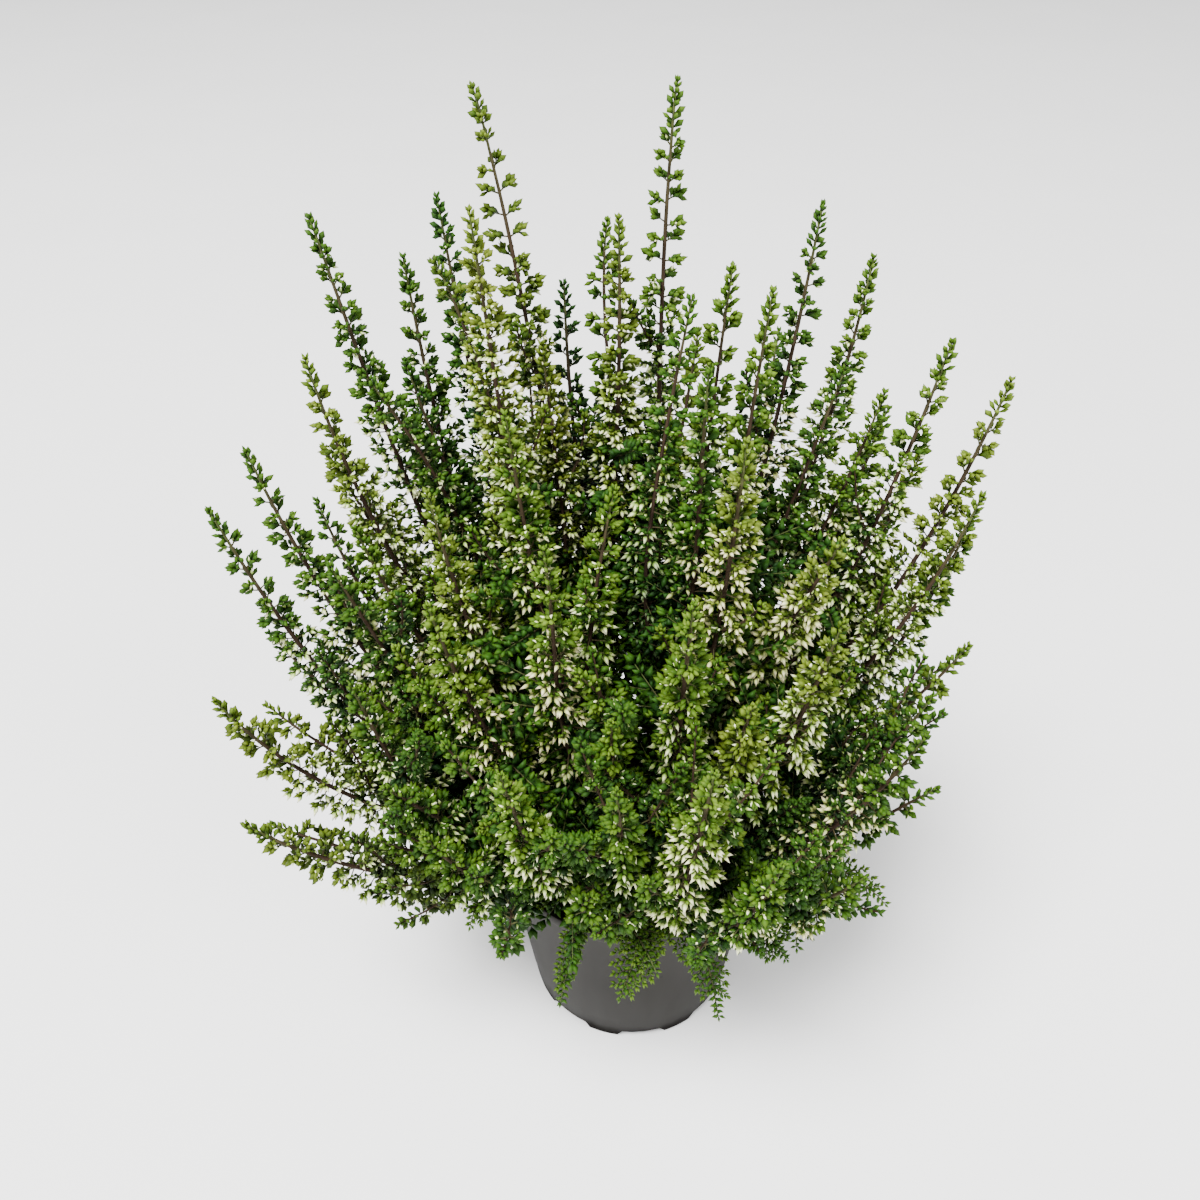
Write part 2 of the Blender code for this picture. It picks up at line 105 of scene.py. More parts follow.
# Where each main spike ends: bearing in degrees from +X, reach from the pot's axis
# and height above the ground in millimetres, and the share of its full width.
# Then its own look: how bright its green is, which is partly painted shade for
# the sprays that stand in shadow, how freely it buds, how far apart the clusters
# near its tip stand.
SPRAYS = (
    ("tall_back_left", 134, 68, 362, 0.72, 0.52, 0.7, 1.6),
    ("tall_back", 83, 54, 362, 0.72, 0.55, 0.8, 1.35),
    ("back_middle", 97, 40, 325, 0.8, 0.60, 1.1, 1.15),
    ("back_left_1", 142, 80, 328, 0.75, 0.36, 0.6, 1.0),
    ("back_left_2", 153, 86, 312, 0.72, 0.42, 0.7, 1.0),
    ("back_left_3", 163, 102, 328, 0.8, 0.45, 0.6, 1.05),
    ("bright_left", 168, 50, 338, 1.0, 0.64, 1.05, 0.9),
    ("back_dark_1", 113, 74, 292, 0.8, 0.20, 0.6, 1.1),
    ("middle_2", 17, 36, 314, 0.9, 0.62, 1.0, 1.2),
    ("back_right_1", 35, 70, 328, 0.75, 0.42, 0.7, 1.15),
    ("back_right_2", 27, 90, 310, 0.85, 0.58, 0.9, 1.0),
    ("right_1", 9, 98, 296, 0.9, 0.60, 1.1, 1.0),
    ("right_2", 2, 114, 286, 0.7, 0.66, 0.8, 1.15),
    ("left_1", 177, 108, 290, 0.9, 0.60, 0.9, 0.95),
    ("left_2", 185, 122, 270, 0.75, 0.46, 0.8, 1.0),
    ("left_3", 187, 134, 254, 0.75, 0.44, 0.8, 1.0),
    ("left_low_1", 176, 134, 180, 0.85, 0.28, 0.7, 1.0),
    ("left_low_2", 196, 148, 192, 1.0, 0.56, 0.85, 0.85),
    ("left_low_3", 205, 146, 158, 1.0, 0.50, 0.85, 0.85),
    ("right_low_1", 337, 106, 196, 0.95, 0.50, 0.9, 0.9),
    ("right_3", 356, 112, 250, 0.95, 0.58, 1.0, 1.0),
    ("front_left_1", 183, 100, 236, 0.95, 0.55, 1.0, 1.0),
    ("front_left_2", 199, 70, 262, 0.95, 0.66, 1.1, 1.0),
    ("front_left_3", 216, 82, 240, 0.9, 0.68, 0.9, 1.0),
    ("front_left_4", 206, 100, 208, 1.0, 0.50, 1.1, 0.9),
    ("front_left_5", 228, 104, 172, 1.0, 0.55, 0.95, 0.9),
    ("front_1", 250, 64, 264, 0.95, 0.62, 1.0, 1.0),
    ("front_2", 247, 98, 210, 1.0, 0.66, 0.9, 0.9),
    ("front_3", 265, 98, 206, 0.95, 0.52, 0.7, 0.9),
    ("front_4", 279, 72, 255, 1.0, 0.62, 0.8, 1.0),
    ("front_5", 280, 96, 222, 1.0, 0.66, 1.0, 0.9),
    ("front_6", 292, 104, 186, 0.9, 0.58, 0.8, 0.9),
    ("front_right_1", 311, 82, 240, 1.0, 0.62, 1.25, 0.9),
    ("front_right_2", 326, 108, 198, 1.0, 0.48, 1.0, 0.9),
    ("front_right_3", 308, 108, 160, 1.0, 0.50, 1.0, 0.9),
    ("inner_1", 202, 44, 284, 1.0, 0.64, 1.1, 1.0),
    ("inner_2", 315, 20, 298, 0.85, 0.50, 0.8, 1.1),
    ("inner_3", 313, 44, 286, 1.0, 0.66, 1.5, 0.9),
    ("rear_1", 12, 124, 222, 0.95, 0.42, 0.9, 1.0),
    ("rear_2", 36, 118, 240, 0.95, 0.50, 1.0, 1.0),
    ("rear_3", 60, 106, 262, 0.9, 0.45, 0.9, 1.0),
    ("rear_4", 86, 106, 245, 0.95, 0.55, 1.1, 1.0),
    ("rear_5", 112, 112, 250, 0.95, 0.48, 0.9, 1.0),
    ("rear_6", 138, 118, 236, 0.95, 0.55, 1.0, 1.0),
    ("rear_7", 160, 128, 216, 0.95, 0.42, 0.9, 1.0),
    ("rear_low_1", 30, 122, 165, 1.0, 0.50, 1.1, 0.9),
    ("rear_low_2", 75, 124, 170, 1.0, 0.45, 1.0, 0.9),
    ("rear_low_3", 118, 126, 168, 1.0, 0.52, 1.1, 0.9),
)

# The leafy shoots at the rim: bearing, reach and height of the longest of each fan.
SKIRTS = (
    ("skirt_front_left", 250, 82, 78),
    ("skirt_front_right", 291, 84, 72),
    ("skirt_right", 335, 104, 92),
    ("skirt_left", 200, 98, 100),
    ("skirt_back_right", 50, 96, 84),
    ("skirt_back_left", 125, 96, 84),
)
SKIRT_FAN = (-26, 26)

# Side spikes whose tips show on their own, placed as above. Other side spikes are drawn.
SIDE_TIPS = {
    "middle_2": (25, 30, 319),
    "inner_2": (27, 22, 310),
    "back_left_3": (167, 90, 282),
    "inner_1": (236, 24, 261),
    "inner_3": (325, 69, 256),
    "front_1": (244, 68, 222),
    "front_2": (238, 88, 160),
    "front_3": (258, 80, 154),
    "front_5": (285, 84, 158),
}

# How far a spike's clusters reach, as shares, along it from its foot to its tip.
WIDTH_PLACES = (0, 0.2, 0.42, 0.65, 0.88, 1)
WIDTH_SHARES = (0.3, 0.55, 1, 0.82, 0.58, 0.26)
BARE_SHARE = 0.22

# What grows on a spray: the kinds of repeat, and the two kinds of stem.
BUD, KNOB, LEAF, STEM, TWIG = range(5)
BUD_LENGTH = 4.6
KNOB_LENGTH = 3.6

# The repeats' own forms, at unit length: sides, the height and radius of the widest
# place, and its depth as a share of its breadth.
REPEATS = {
    "Bud": (4, 0.46, 0.20, 1.0),
    "Knob": (4, 0.64, 0.26, 0.66),
    "Leaf": (3, 0.5, 0.25, 1.0),
}

# Where lobes and buds stand on a side twig: the share of its length, how far aside each points
# and, for lobes, how far towards the spike's tip. Longer paws have more lobes.
PAW_END = (
    (1.0, 0.0, 0.05), (0.95, 0.62, 0.15), (0.95, -0.62, 0.15), (0.82, 0.15, 0.75), (0.85, -0.1, -0.65),
)
PAW_MIDDLE = ((0.6, 1.0, 0.1), (0.6, -1.0, 0.1))
PAW_FOOT = ((0.35, 0.9, 0.4), (0.35, -0.9, 0.4))
SHORT_PAW = 1.2
LONG_PAW = 3.4
TWIG_LOBES = ((0.4, 0.8, 0.45), (0.55, -0.8, 0.4), (0.8, 0.6, 0.5), (0.9, -0.6, 0.5))
TWIG_END = ((0.98, 0.0, 0.7),)
TWIG_BUDS = ((0.38, 0.9), (0.52, -0.95), (0.7, 0.85), (0.84, -0.75), (0.95, 0.4), (1.0, -0.15))

# How far apart budded twigs stand, how they turn, and how long a spike's green tip is.
TWIG_STEP = 4.7
GOLDEN_TURN = math.radians(137.5)
GREEN_TIP = 34
LONGEST_GREEN_TIP = 56

# How many small shoots stand beside a spike's stem, where this is its own.
SIDE_SHOOTS = {
    "left_low_2": 11, "left_low_3": 10, "inner_1": 3, "inner_2": 3,
    "rear_1": 3, "rear_2": 3, "rear_3": 3, "rear_4": 3, "rear_5": 3, "rear_6": 3, "rear_7": 3,
    "rear_low_1": 5, "rear_low_2": 5, "rear_low_3": 5,
}

# How far a spike's tip is bent aside, and how olive its green is, where these are its own.
TIP_BENDS = {"tall_back_left": (-9, 0, -1.5), "tall_back": (4, 0, 0), "back_left_3": (-3, 0, 0)}
PLAIN_OLIVE = 0.12
OLIVE = {
    "bright_left": 0.7, "tall_back_left": 0.5, "left_low_2": 0.6, "left_low_3": 0.6, "left_1": 0.5,
    "front_right_1": 0.5, "inner_3": 0.5, "right_2": 0.45, "right_3": 0.4, "front_left_2": 0.4,
    "back_middle": 0.5, "front_2": 0.05, "middle_2": 0.1, "inner_2": 0.0, "front_6": 0.05,
    "back_dark_1": 0.0, "back_left_1": 0.0,
}

# The view, in metres: a 35 mm lens that looks down at the plant.
LENS = 35
SENSOR = 36
CAMERA_PLACE = (-0.0135, -0.326, 0.4513)
CAMERA_DIP = 37.32


def polar(bearing, reach, height):
    angle = math.radians(bearing)
    return np.array((reach * math.cos(angle), reach * math.sin(angle), height))


def crown_place(crown):
    """The middle of one crown's stump in the peat."""
    angle = 2 * math.pi * (crown + 0.5) / CROWNS
    return CROWN_CIRCLE * math.cos(angle), CROWN_CIRCLE * math.sin(angle)


def wall_radius(z):
    """The radius of the pot's outer wall at a height."""
    return POT_BASE_RADIUS + (POT_RIM_RADIUS - LIP_OUT - POT_BASE_RADIUS) * z / POT_HEIGHT


def arc(start, lift_point, end, count):
    """Points along a quadratic curve from start to end, drawn towards lift_point."""
    t = np.linspace(0, 1, count)[:, None]
    return (1 - t) ** 2 * start + 2 * t * (1 - t) * lift_point + t ** 2 * end


def spike_width(t, widest):
    """How far a flowering spike's clusters reach at t, from 0 at its foot to 1 at its tip."""
    return widest * np.interp(t, WIDTH_PLACES, WIDTH_SHARES)


class Strand:
    """One stem, from its root to its tip, with the width that it wants at each knot."""

    def __init__(self, name, points, bare, widest, kind, parent=None, fork=0):
        self.name = name
        self.kind = kind
        self.rest = points
        self.shift = np.zeros_like(points)
        self.bare = bare
        self.parent = parent
        self.fork = fork
        along = np.linspace(0, 1, len(points))
        self.want = np.where(
            along < bare, TWIG_RADIUS + 0.3, spike_width((along - bare) / (1 - bare), widest)
        )
        self.want = np.maximum(self.want, TWIG_RADIUS + 0.3)
        self.crown = 0

    @property
    def points(self):
        return self.rest + self.shift


def grow_strands():
    """The main spikes, their side spikes and the leafy shoots, before they make room for each other."""
    rng = random.Random(SEED)
    strands = []
    for name, bearing, reach, height, width, *_ in SPRAYS:
        crown = int(bearing % 360 // (360 / CROWNS))
        root = np.array((*crown_place(crown), PEAT_TOP + STUMP_RISE - 1.0))
        tip = polar(bearing, reach, height)
        swell = root + (tip - root) * np.array((0.72, 0.72, 0.36))
        if height < LOW_SPRAY:
            swell = polar(bearing, 0.75 * reach, POT_HEIGHT + 22)
        main = Strand(name, arc(root, swell, tip, KNOTS), BARE_SHARE, MAIN_REACH * width, "spray")
        main.crown = crown
        strands.append(main)
        strands.append(side_strand(main, rng, SIDE_REACH * (0.5 + 0.5 * width)))
    for name, bearing, reach, height in SKIRTS:
        crown = int(bearing % 360 // (360 / CROWNS))
        root = np.array((*crown_place(crown), PEAT_TOP + STUMP_RISE - 1.0))
        tip = polar(bearing, reach, height)
        over_rim = polar(bearing, 0.72 * reach, POT_HEIGHT + 36)
        main = Strand(name, arc(root, over_rim, tip, KNOTS), 0.36, SHOOT_REACH, "shoot")
        main.crown = crown
        strands.append(main)
        for turn in SKIRT_FAN:
            fork = 6
            start = main.rest[fork]
            end = polar(bearing + turn, reach * rng.uniform(0.82, 0.95), height + rng.uniform(2, 14))
            bend = polar(bearing + turn * 0.7, 0.74 * reach, POT_HEIGHT + 26)
            line = arc(start, bend, end, KNOTS * 2 // 3)
            strands.append(Strand(name, line, 0.15, SHOOT_REACH, "shoot", main, fork))
    return strands


def side_strand(main, rng, widest):
    """A side spike that leaves its main stem and turns up beside it."""
    fork = rng.choice((5, 6, 7))
    start = main.rest[fork]
    along = main.rest[-1] - start
    length = np.linalg.norm(along)
    along = along / length
    sideways = np.cross(along, (0, 0, 1))
    sideways = sideways / np.linalg.norm(sideways)
    across = np.cross(sideways, along)
    turn = rng.choice((0, math.pi)) + rng.uniform(-0.7, 0.7)
    out = math.cos(turn) * sideways + math.sin(turn) * across
    end = start + along * length * rng.uniform(0.62, 0.78) + out * rng.uniform(20, 28)
    if main.name in SIDE_TIPS:
        end = polar(*SIDE_TIPS[main.name])
    bend = start + along * length * 0.25 + out * 17
    return Strand(main.name, arc(start, bend, end, KNOTS * 2 // 3), 0.2, widest, "spray", main, fork)


def keep_off_pot(points, want):
    """How far each point moves to lie clear of the pot and the peat."""
    out = np.linalg.norm(points[:, :2], axis=1)
    push = np.zeros_like(points)
    inside_rim = (out > POT_BASE_RADIUS - 2) & (out < POT_RIM_RADIUS + 1)
    over_rim = inside_rim & (points[:, 2] < POT_HEIGHT + 2 + want)
    push[over_rim, 2] = (POT_HEIGHT + 2 + want - points[:, 2])[over_rim]
    beside = (out >= POT_RIM_RADIUS + 1) & (points[:, 2] < POT_HEIGHT) & (out < POT_RIM_RADIUS + 1 + want)
    outward = points[:, :2] / np.maximum(out, 1)[:, None]
    push[beside, :2] = (outward * (POT_RIM_RADIUS + 1 + want - out)[:, None])[beside]
    return push


def near_pairs(strands):
    """The pairs of knots that may come too near each other, and the knots' own facts."""
    sizes = [len(strand.rest) for strand in strands]
    owner = np.repeat(np.arange(len(strands)), sizes)
    knot = np.concatenate([np.arange(size) for size in sizes])
    names = [strand.name for strand in strands]
    node = np.array([names.index(name) for name in names])[owner]
    is_main = np.array([strand.parent is None for strand in strands])[owner]
    crown = np.array([strand.crown for strand in strands])[owner]
    want = np.concatenate([strand.want for strand in strands])
    points = np.concatenate([strand.rest for strand in strands])
    distance = np.sqrt(((points[:, None] - points) ** 2).sum(axis=2))
    one, two = np.nonzero(np.triu(distance < want[:, None] + want + ROOM_SEARCH, 1))
    low = knot < 3
    at_fork = (node[one] == node[two]) & ((~is_main[one] & low[one]) | (~is_main[two] & low[two]))
    in_crown = (crown[one] == crown[two]) & is_main[one] & is_main[two] & low[one] & low[two]
    kept = (owner[one] != owner[two]) & ~at_fork & ~in_crown
    free = np.clip(knot / np.where(is_main, 6, 3), 0, 1)
    return one[kept], two[kept], want, free


def make_room(strands):
    """Bends the strands apart until their widths fit, each round a little, and evenly along each strand."""
    one, two, want, free = near_pairs(strands)
    first = np.cumsum([0] + [len(strand.rest) for strand in strands])
    for _ in range(RELAX_ROUNDS):
        points = np.concatenate([strand.points for strand in strands])
        apart = points[one] - points[two]
        distance = np.linalg.norm(apart, axis=1) + 1e-6
        excess = np.maximum(want[one] + want[two] + GAP - distance, 0)
        force = apart * (0.22 * excess / distance)[:, None]
        push = 0.5 * keep_off_pot(points, want)
        for axis in range(3):
            push[:, axis] += np.bincount(one, force[:, axis], len(points))
            push[:, axis] -= np.bincount(two, force[:, axis], len(points))
        size = np.linalg.norm(push, axis=1, keepdims=True)
        push *= np.minimum(1, 2.5 / np.maximum(size, 1e-6)) * free[:, None]
        for index, strand in enumerate(strands):
            moved = strand.shift + push[first[index]:first[index + 1]]
            moved[0] = 0 if strand.parent is None else strand.parent.shift[strand.fork]
            even = moved.copy()
            even[1:-1] = 0.25 * moved[:-2] + 0.5 * moved[1:-1] + 0.25 * moved[2:]
            even[-1] = 0.5 * moved[-1] + 0.5 * moved[-2]
            strand.shift = even


def finer(values, times):
    """A row of points or widths followed times as finely, through a smooth curve."""
    count = len(values)
    position = np.linspace(0, count - 1, (count - 1) * times + 1)
    index = np.minimum(position.astype(int), count - 2)
    t = position - index
    if values.ndim > 1:
        t = t[:, None]
    before, here = values[np.maximum(index - 1, 0)], values[index]
    after, beyond = values[index + 1], values[np.minimum(index + 2, count - 1)]
    return 0.5 * (2 * here + (after - before) * t + (2 * before - 5 * here + 4 * after - beyond) * t ** 2
                  + (3 * here - before - 3 * after + beyond) * t ** 3)


def settle_widths(strands):
    """Follows each strand finely and narrows it where another node comes too near."""
    for strand in strands:
        strand.line = finer(strand.points, FINE)
        strand.width = np.maximum(finer(strand.want, FINE), TWIG_RADIUS)
    wanted = [strand.width.copy() for strand in strands]
    for index, strand in enumerate(strands):
        room = strand.width.copy()
        for other_index, other in enumerate(strands):
            if other.name == strand.name:
                continue
            distance = np.linalg.norm(strand.line[:, None] - other.line, axis=2) - 3 * GAP
            share = wanted[index][:, None] / (wanted[index][:, None] + wanted[other_index])
            room = np.minimum(room, (distance * share).min(axis=1))
        out = np.linalg.norm(strand.line[:, :2], axis=1)
        over = np.where(out < POT_RIM_RADIUS + 12, strand.line[:, 2] - POT_HEIGHT - GAP, 99)
        beside = np.where(out > POT_RIM_RADIUS, out - POT_RIM_RADIUS - GAP, over)
        above = strand.line[:, 2] - PEAT_TOP - 4
        room = np.minimum(room, np.where(out > POT_BASE_RADIUS, np.maximum(over, beside), above))
        strand.wide = strand.width
        strand.width = np.clip(room, 0.62, None)


def frames(line):
    """The direction at each point of a line, and two directions across it that don't twist."""
    along = np.gradient(line, axis=0)
    along /= np.linalg.norm(along, axis=1, keepdims=True)
    across = np.cross(along[0], (0.3, 0.1, 1.0))
    first = []
    for direction in along:
        across = across - direction * (across @ direction)
        across = across / np.linalg.norm(across)
        first.append(across)
    first = np.array(first)
    return along, first, np.cross(along, first)


def at(values, position):
    """A value part of the way between two entries."""
    low = min(int(position), len(values) - 2)
    return values[low] + (values[low + 1] - values[low]) * (position - low)


# What grows on the strands


class Growth:
    """The places of one piece's repeats, and the lines of its stems, in millimetres."""

    def __init__(self):
        self.rows = []
        self.edges = []

    def add(self, kind, place, way, size, tone, flush=0.0):
        self.rows.append((*place, *way, size, kind, tone, flush))

    def line(self, kind, places, radii, tones):
        first = len(self.rows)
        for place, radius, tone in zip(places, radii, tones):
            self.rows.append((*place, 0, 0, 1, radius, kind, tone, 0))
        self.edges += [(first + step, first + step + 1) for step in range(len(places) - 1)]

    def mesh(self, name):
        rows = np.array(self.rows)
        mesh = bpy.data.meshes.new(name)
        mesh.from_pydata(rows[:, :3] * MM, self.edges, [])
        columns = (
            ("way", "FLOAT_VECTOR", "vector", rows[:, 3:6]),
            ("size", "FLOAT", "value", rows[:, 6] * MM),
            ("kind", "INT", "value", rows[:, 7].astype(int)),
            ("tone", "FLOAT", "value", rows[:, 8]),
            ("flush", "FLOAT", "value", rows[:, 9]),
        )
        for label, form, field, values in columns:
            layer = mesh.attributes.new(label, form, "POINT")
            layer.data.foreach_set(field, values.ravel())
        return mesh


class Course:
    """A stem read at any distance along it, in millimetres."""

    def __init__(self, line, width, wide):
        self.points = line
        steps = np.linalg.norm(np.diff(line, axis=0), axis=1)
        self.run = np.concatenate(([0], np.cumsum(steps)))
        self.length = self.run[-1]
        self.along, self.first, self.second = frames(line)
        self.width = width
        self.wide = wide

    def position(self, distance):
        return float(np.interp(distance, self.run, np.arange(len(self.run))))

    def place(self, distance):
        return Vector(at(self.points, self.position(distance)))

    def read(self, distance, turn):
        """The place, the stem's way there, a way out from it at a turn, and the reach wanted there."""
        position = self.position(distance)
        axis = Vector(at(self.along, position)).normalized()
        out = Vector(at(self.first, position)) * math.cos(turn)
        out += Vector(at(self.second, position)) * math.sin(turn)
        reach = max(float(at(self.width, position)), 0.85 * float(at(self.wide, position)))
        return self.place(distance), axis, out.normalized(), reach


def ramp(value, places, values):
    return float(np.interp(value, places, values))


def shaken(way, amount, rng):
    return (way + Vector([rng.uniform(-amount, amount) for _ in range(3)])).normalized()


def leant(axis, out, degrees):
    """The way that leans from a stem's axis towards a way out of it."""
    lean = math.radians(degrees)
    return axis * math.cos(lean) + out * math.sin(lean)


def depth_share(place):
    """How near a place is to the outside of the bush: 0 at its heart and 1 at its edge."""
    return math.sqrt((place[0] / 130) ** 2 + (place[1] / 118) ** 2 + ((place[2] - 110) / 215) ** 2)


def add_paw(growth, place, axis, out, reach, t, below, look, rng):
    """A short side twig near a spike's tip: a fan of blunt lobes, with pale buds among them.

    below is how far it stands under the spike's green tip, in millimetres: lower ones bud more freely.
    """
    tone, bloom, _, olive = look
    way = leant(axis, out, ramp(t, (0.4, 0.8, 1), (86, 68, 36)) + rng.uniform(-9, 9))
    side = axis.cross(out)
    lobe = KNOB_LENGTH * ramp(reach, (2.5, 6.5, 8), (0.8, 1.1, 1.3))
    length = max(0.5, reach - 0.85 * lobe)
    growth.line(TWIG, (place, place + way * length), (0.36, 0.28), (0.6, 0.85))
    lobes = PAW_END + (PAW_MIDDLE if length > SHORT_PAW else ()) + (PAW_FOOT if length > LONG_PAW else ())
    for share, aside, upward in lobes:
        direction = shaken(way + side * aside + axis * upward, 0.2, rng)
        shade = tone + ramp(share, (0.3, 1), (-0.12, 0.03)) + rng.uniform(-0.07, 0.07)
        size = lobe * rng.uniform(0.8, 1.12)
        growth.add(KNOB, place + way * length * share, direction, size, shade, olive)
    pale = bloom * ramp(below, (-45, -16, 0, 12), (0.1, 1.8, 3.6, 4.4))
    while rng.random() < pale:
        direction = shaken(way * 0.9 - axis * ramp(below, (0, 30), (0.1, 0.35)), 0.75, rng)
        size = ramp(below, (-20, 0, 30), (2.7, 3.2, 4.2)) * rng.uniform(0.85, 1.1)
        growth.add(BUD, place + way * length * rng.uniform(0.55, 1.1), direction, size, tone + 0.1)
        pale -= 1


def add_budded_twig(growth, place, axis, out, reach, t, look, flush, rng):
    """A side twig lower on a spike: green lobes along it, and buds that point out and down."""
    tone, bloom, _, olive = look
    way = leant(axis, out, ramp(t, (0, 0.4, 0.8), (98, 88, 70)) + rng.uniform(-10, 10))
    side = axis.cross(out)
    outer = ramp(depth_share(place), (0.35, 0.7), (0, 1))
    bud = BUD_LENGTH * rng.uniform(0.9, 1.05) * (0.86 + 0.1 * bloom) * ramp(t, (0.5, 0.85), (1, 0.8))
    length = max(1.0, reach - 0.5 * bud)
    growth.line(TWIG, (place, place + way * length), (0.3, 0.2), (0.5, 0.8))
    lobes = TWIG_LOBES + (TWIG_END if outer > 0.5 and t > 0.3 else ())
    for share, aside, upward in lobes:
        direction = shaken(way * 0.8 + side * aside + axis * upward, 0.25, rng)
        shade = tone + ramp(share, (0.3, 1), (-0.16, 0.05)) + rng.uniform(-0.06, 0.06)
        growth.add(LEAF, place + way * length * share, direction, rng.uniform(2.9, 3.8), shade, olive)
    freely = ramp(bloom, (0.5, 1.2), (0.46, 0.86)) * (0.6 + 0.4 * outer)
    down = axis * ramp(t, (0, 0.5, 0.85), (0.45, 0.3, -0.1)) + Vector((0, 0, 0.22))
    # Buds deeper in the bush get a lower tone, which paints them darker: painted shade.
    shade = tone + ramp(outer, (0, 1), (-0.3, 0.1))
    for share, aside in TWIG_BUDS:
        if rng.random() > freely:
            continue
        direction = shaken(way * 0.85 + side * aside - down, 0.32, rng)
        growth.add(BUD, place + way * length * share, direction, bud * rng.uniform(0.85, 1.1), shade, flush)


def add_spire(growth, course, length, look, rng):
    """The tip of a spike: lobes that lap over each other up to the end of the stem."""
    tone, _, _, olive = look
    start = course.length - length
    distance, turn = start, rng.uniform(0, 6)
    while distance < course.length - 0.6:
        share = (distance - start) / length
        for hand in range(3):
            place, axis, out, _ = course.read(distance, turn + hand * 2 * math.pi / 3)
            way = shaken(leant(axis, out, ramp(share, (0, 1), (62, 20))), 0.15, rng)
            size = ramp(share, (0, 0.5, 1), (4.9, 4.2, 2.6)) * rng.uniform(0.85, 1.1)
            growth.add(KNOB, place, way, size, tone + rng.uniform(-0.06, 0.1), olive)
        turn += 1.05
        distance += ramp(share, (0, 1), (2.2, 1.5))
    place, axis, _, _ = course.read(course.length, 0)
    growth.add(KNOB, place - axis * 1.4, axis, 2.4, tone + 0.08, olive)


def add_leafy_twig(growth, start, way, length, leaf, tone, rng, step):
    """A small shoot with pairs of leaves, each pair crossing the last, and a tuft at its end."""
    way = way.normalized()
    side = way.cross(Vector((0.31, 0.17, 0.93))).normalized()
    other = way.cross(side)
    growth.line(TWIG, (start, start + way * length), (0.3, 0.18), (0.5, 0.9))
    count = max(3, int(length / step))
    for pair in range(count):
        share = (pair + 0.6) / count
        across = side if pair % 2 else other
        for hand in (1, -1):
            direction = shaken(way * 0.75 + across * hand, 0.16, rng)
            size = leaf * ramp(share, (0, 0.5, 1), (0.95, 1, 0.7)) * rng.uniform(0.85, 1.1)
            shade = tone + 0.22 * share + rng.uniform(-0.06, 0.06)
            growth.add(LEAF, start + way * length * share, direction, size, shade)
    for hand in (-1, 1):
        direction = shaken(way + side * 0.3 * hand, 0.1, rng)
        growth.add(LEAF, start + way * length, direction, leaf * 0.8, tone + 0.25)


def clothe(growth, course, foot, look, rng, fullness=1.0):
    """Budded twigs up a stem from its foot, paws above them and a spire at its tip."""
    tone, bloom, airy, olive = look
    leafy = course.length - foot
    green = min(GREEN_TIP * airy ** 2, LONGEST_GREEN_TIP) - 8 * (bloom - 1)
    green_from = 1 - min(0.65, green / leafy)
    spire = min(ramp(airy, (1, 1.35, 1.75), (12.5, 17, 9)), 0.3 * leafy)
    apart = airy ** 1.15 if airy > 1 else 1
    flush = max(0, rng.uniform(-0.9, 0.5))
    distance = foot
    turn = rng.uniform(0, 2 * math.pi)
    while distance < course.length - spire:
        t = (distance - foot) / leafy
        # The tone drops towards the spike's foot: painted shade in the heart of the bush.
        here = (tone + ramp(t, (0, 0.35, 0.7, 1), (-0.25, -0.08, 0.0, 0.04)) + rng.uniform(-0.05, 0.05),
                bloom, airy, olive)
        below = (green_from - t) * leafy
        upper = t > green_from + rng.uniform(-0.06, 0.06)
        inner = rng.random() > ramp(depth_share(course.place(distance)), (0.32, 0.65), (0.05, 1))
        pawed = upper or (below < ramp(bloom, (0.6, 1), (26, 9)) and not inner)
        twigs = 2 if upper else 3 if inner or pawed else 4
        for twig in range(twigs):
            aside = turn + 2 * math.pi * twig / twigs + rng.uniform(-0.25, 0.25)
            start, axis, out, reach = course.read(distance + rng.uniform(-0.9, 0.9), aside)
            reach *= rng.uniform(0.82, 1.15)
            if pawed:
                wanted = ramp(t, (0.5, 0.85, 0.97), (7.2, 6.8, 4.0)) + ramp(below, (0, 32), (0, 1.6))
                reach = max(reach, wanted * fullness ** 0.5 * airy ** 0.4 * rng.uniform(0.88, 1.1))
                add_paw(growth, start, axis, out, reach, t, below, here, rng)
            else:
                reach = max(reach, ramp(below, (0, 40), (6.8, 9.0)) * fullness)
                add_budded_twig(growth, start, axis, out, reach, t, here, flush, rng)
        if upper:
            turn += (0.4 if airy > 1.5 else math.pi / 2) + rng.uniform(-0.25, 0.25)
            distance += ramp(t, (0.5, 0.85, 1), (4.9, 4.5, 3.6)) * apart * rng.uniform(0.9, 1.1)
        else:
            turn += GOLDEN_TURN / 2
            distance += TWIG_STEP * rng.uniform(0.88, 1.12)
    add_spire(growth, course, spire, (tone + 0.02, bloom, airy, 0.6 * olive), rng)


def stem_root(strand, course):
    """Where a strand's stem starts along its course: a main one starts past its crown's fork."""
    return FORK_AT * course.length + GAP if strand.parent is None else 0.0


def dress_spike(growth, strand, look, rng):
    """All that grows on one spike, with small shoots that stand up beside its stem."""
    bend = np.array(TIP_BENDS.get(strand.name, (rng.uniform(-2, 2), rng.uniform(-2, 2), 0)))
    share = np.linspace(0, 1, len(strand.line))[:, None]
    course = Course(strand.line + bend * share ** 8, strand.width, strand.wide)
    stout = 1 if strand.parent is None else 0.8
    foot = strand.bare * course.length
    root = stem_root(strand, course)
    stops = np.linspace(root, course.length - 1, max(6, int(course.length / 6)))
    shares = (stops - foot) / (course.length - foot)
    radii = [ramp(share, (-0.3, 0.3, 0.8, 1), (1.05, 0.9, 0.68, 0.35)) * stout for share in shares]
    tones = [ramp(share, (0.3, 0.75, 1), (0.0, 0.35, 0.9)) for share in shares]
    growth.line(STEM, [course.place(stop) for stop in stops], radii, tones)
    clothe(growth, course, foot, look, rng)
    add_side_shoots(growth, strand, course, root, look, rng)


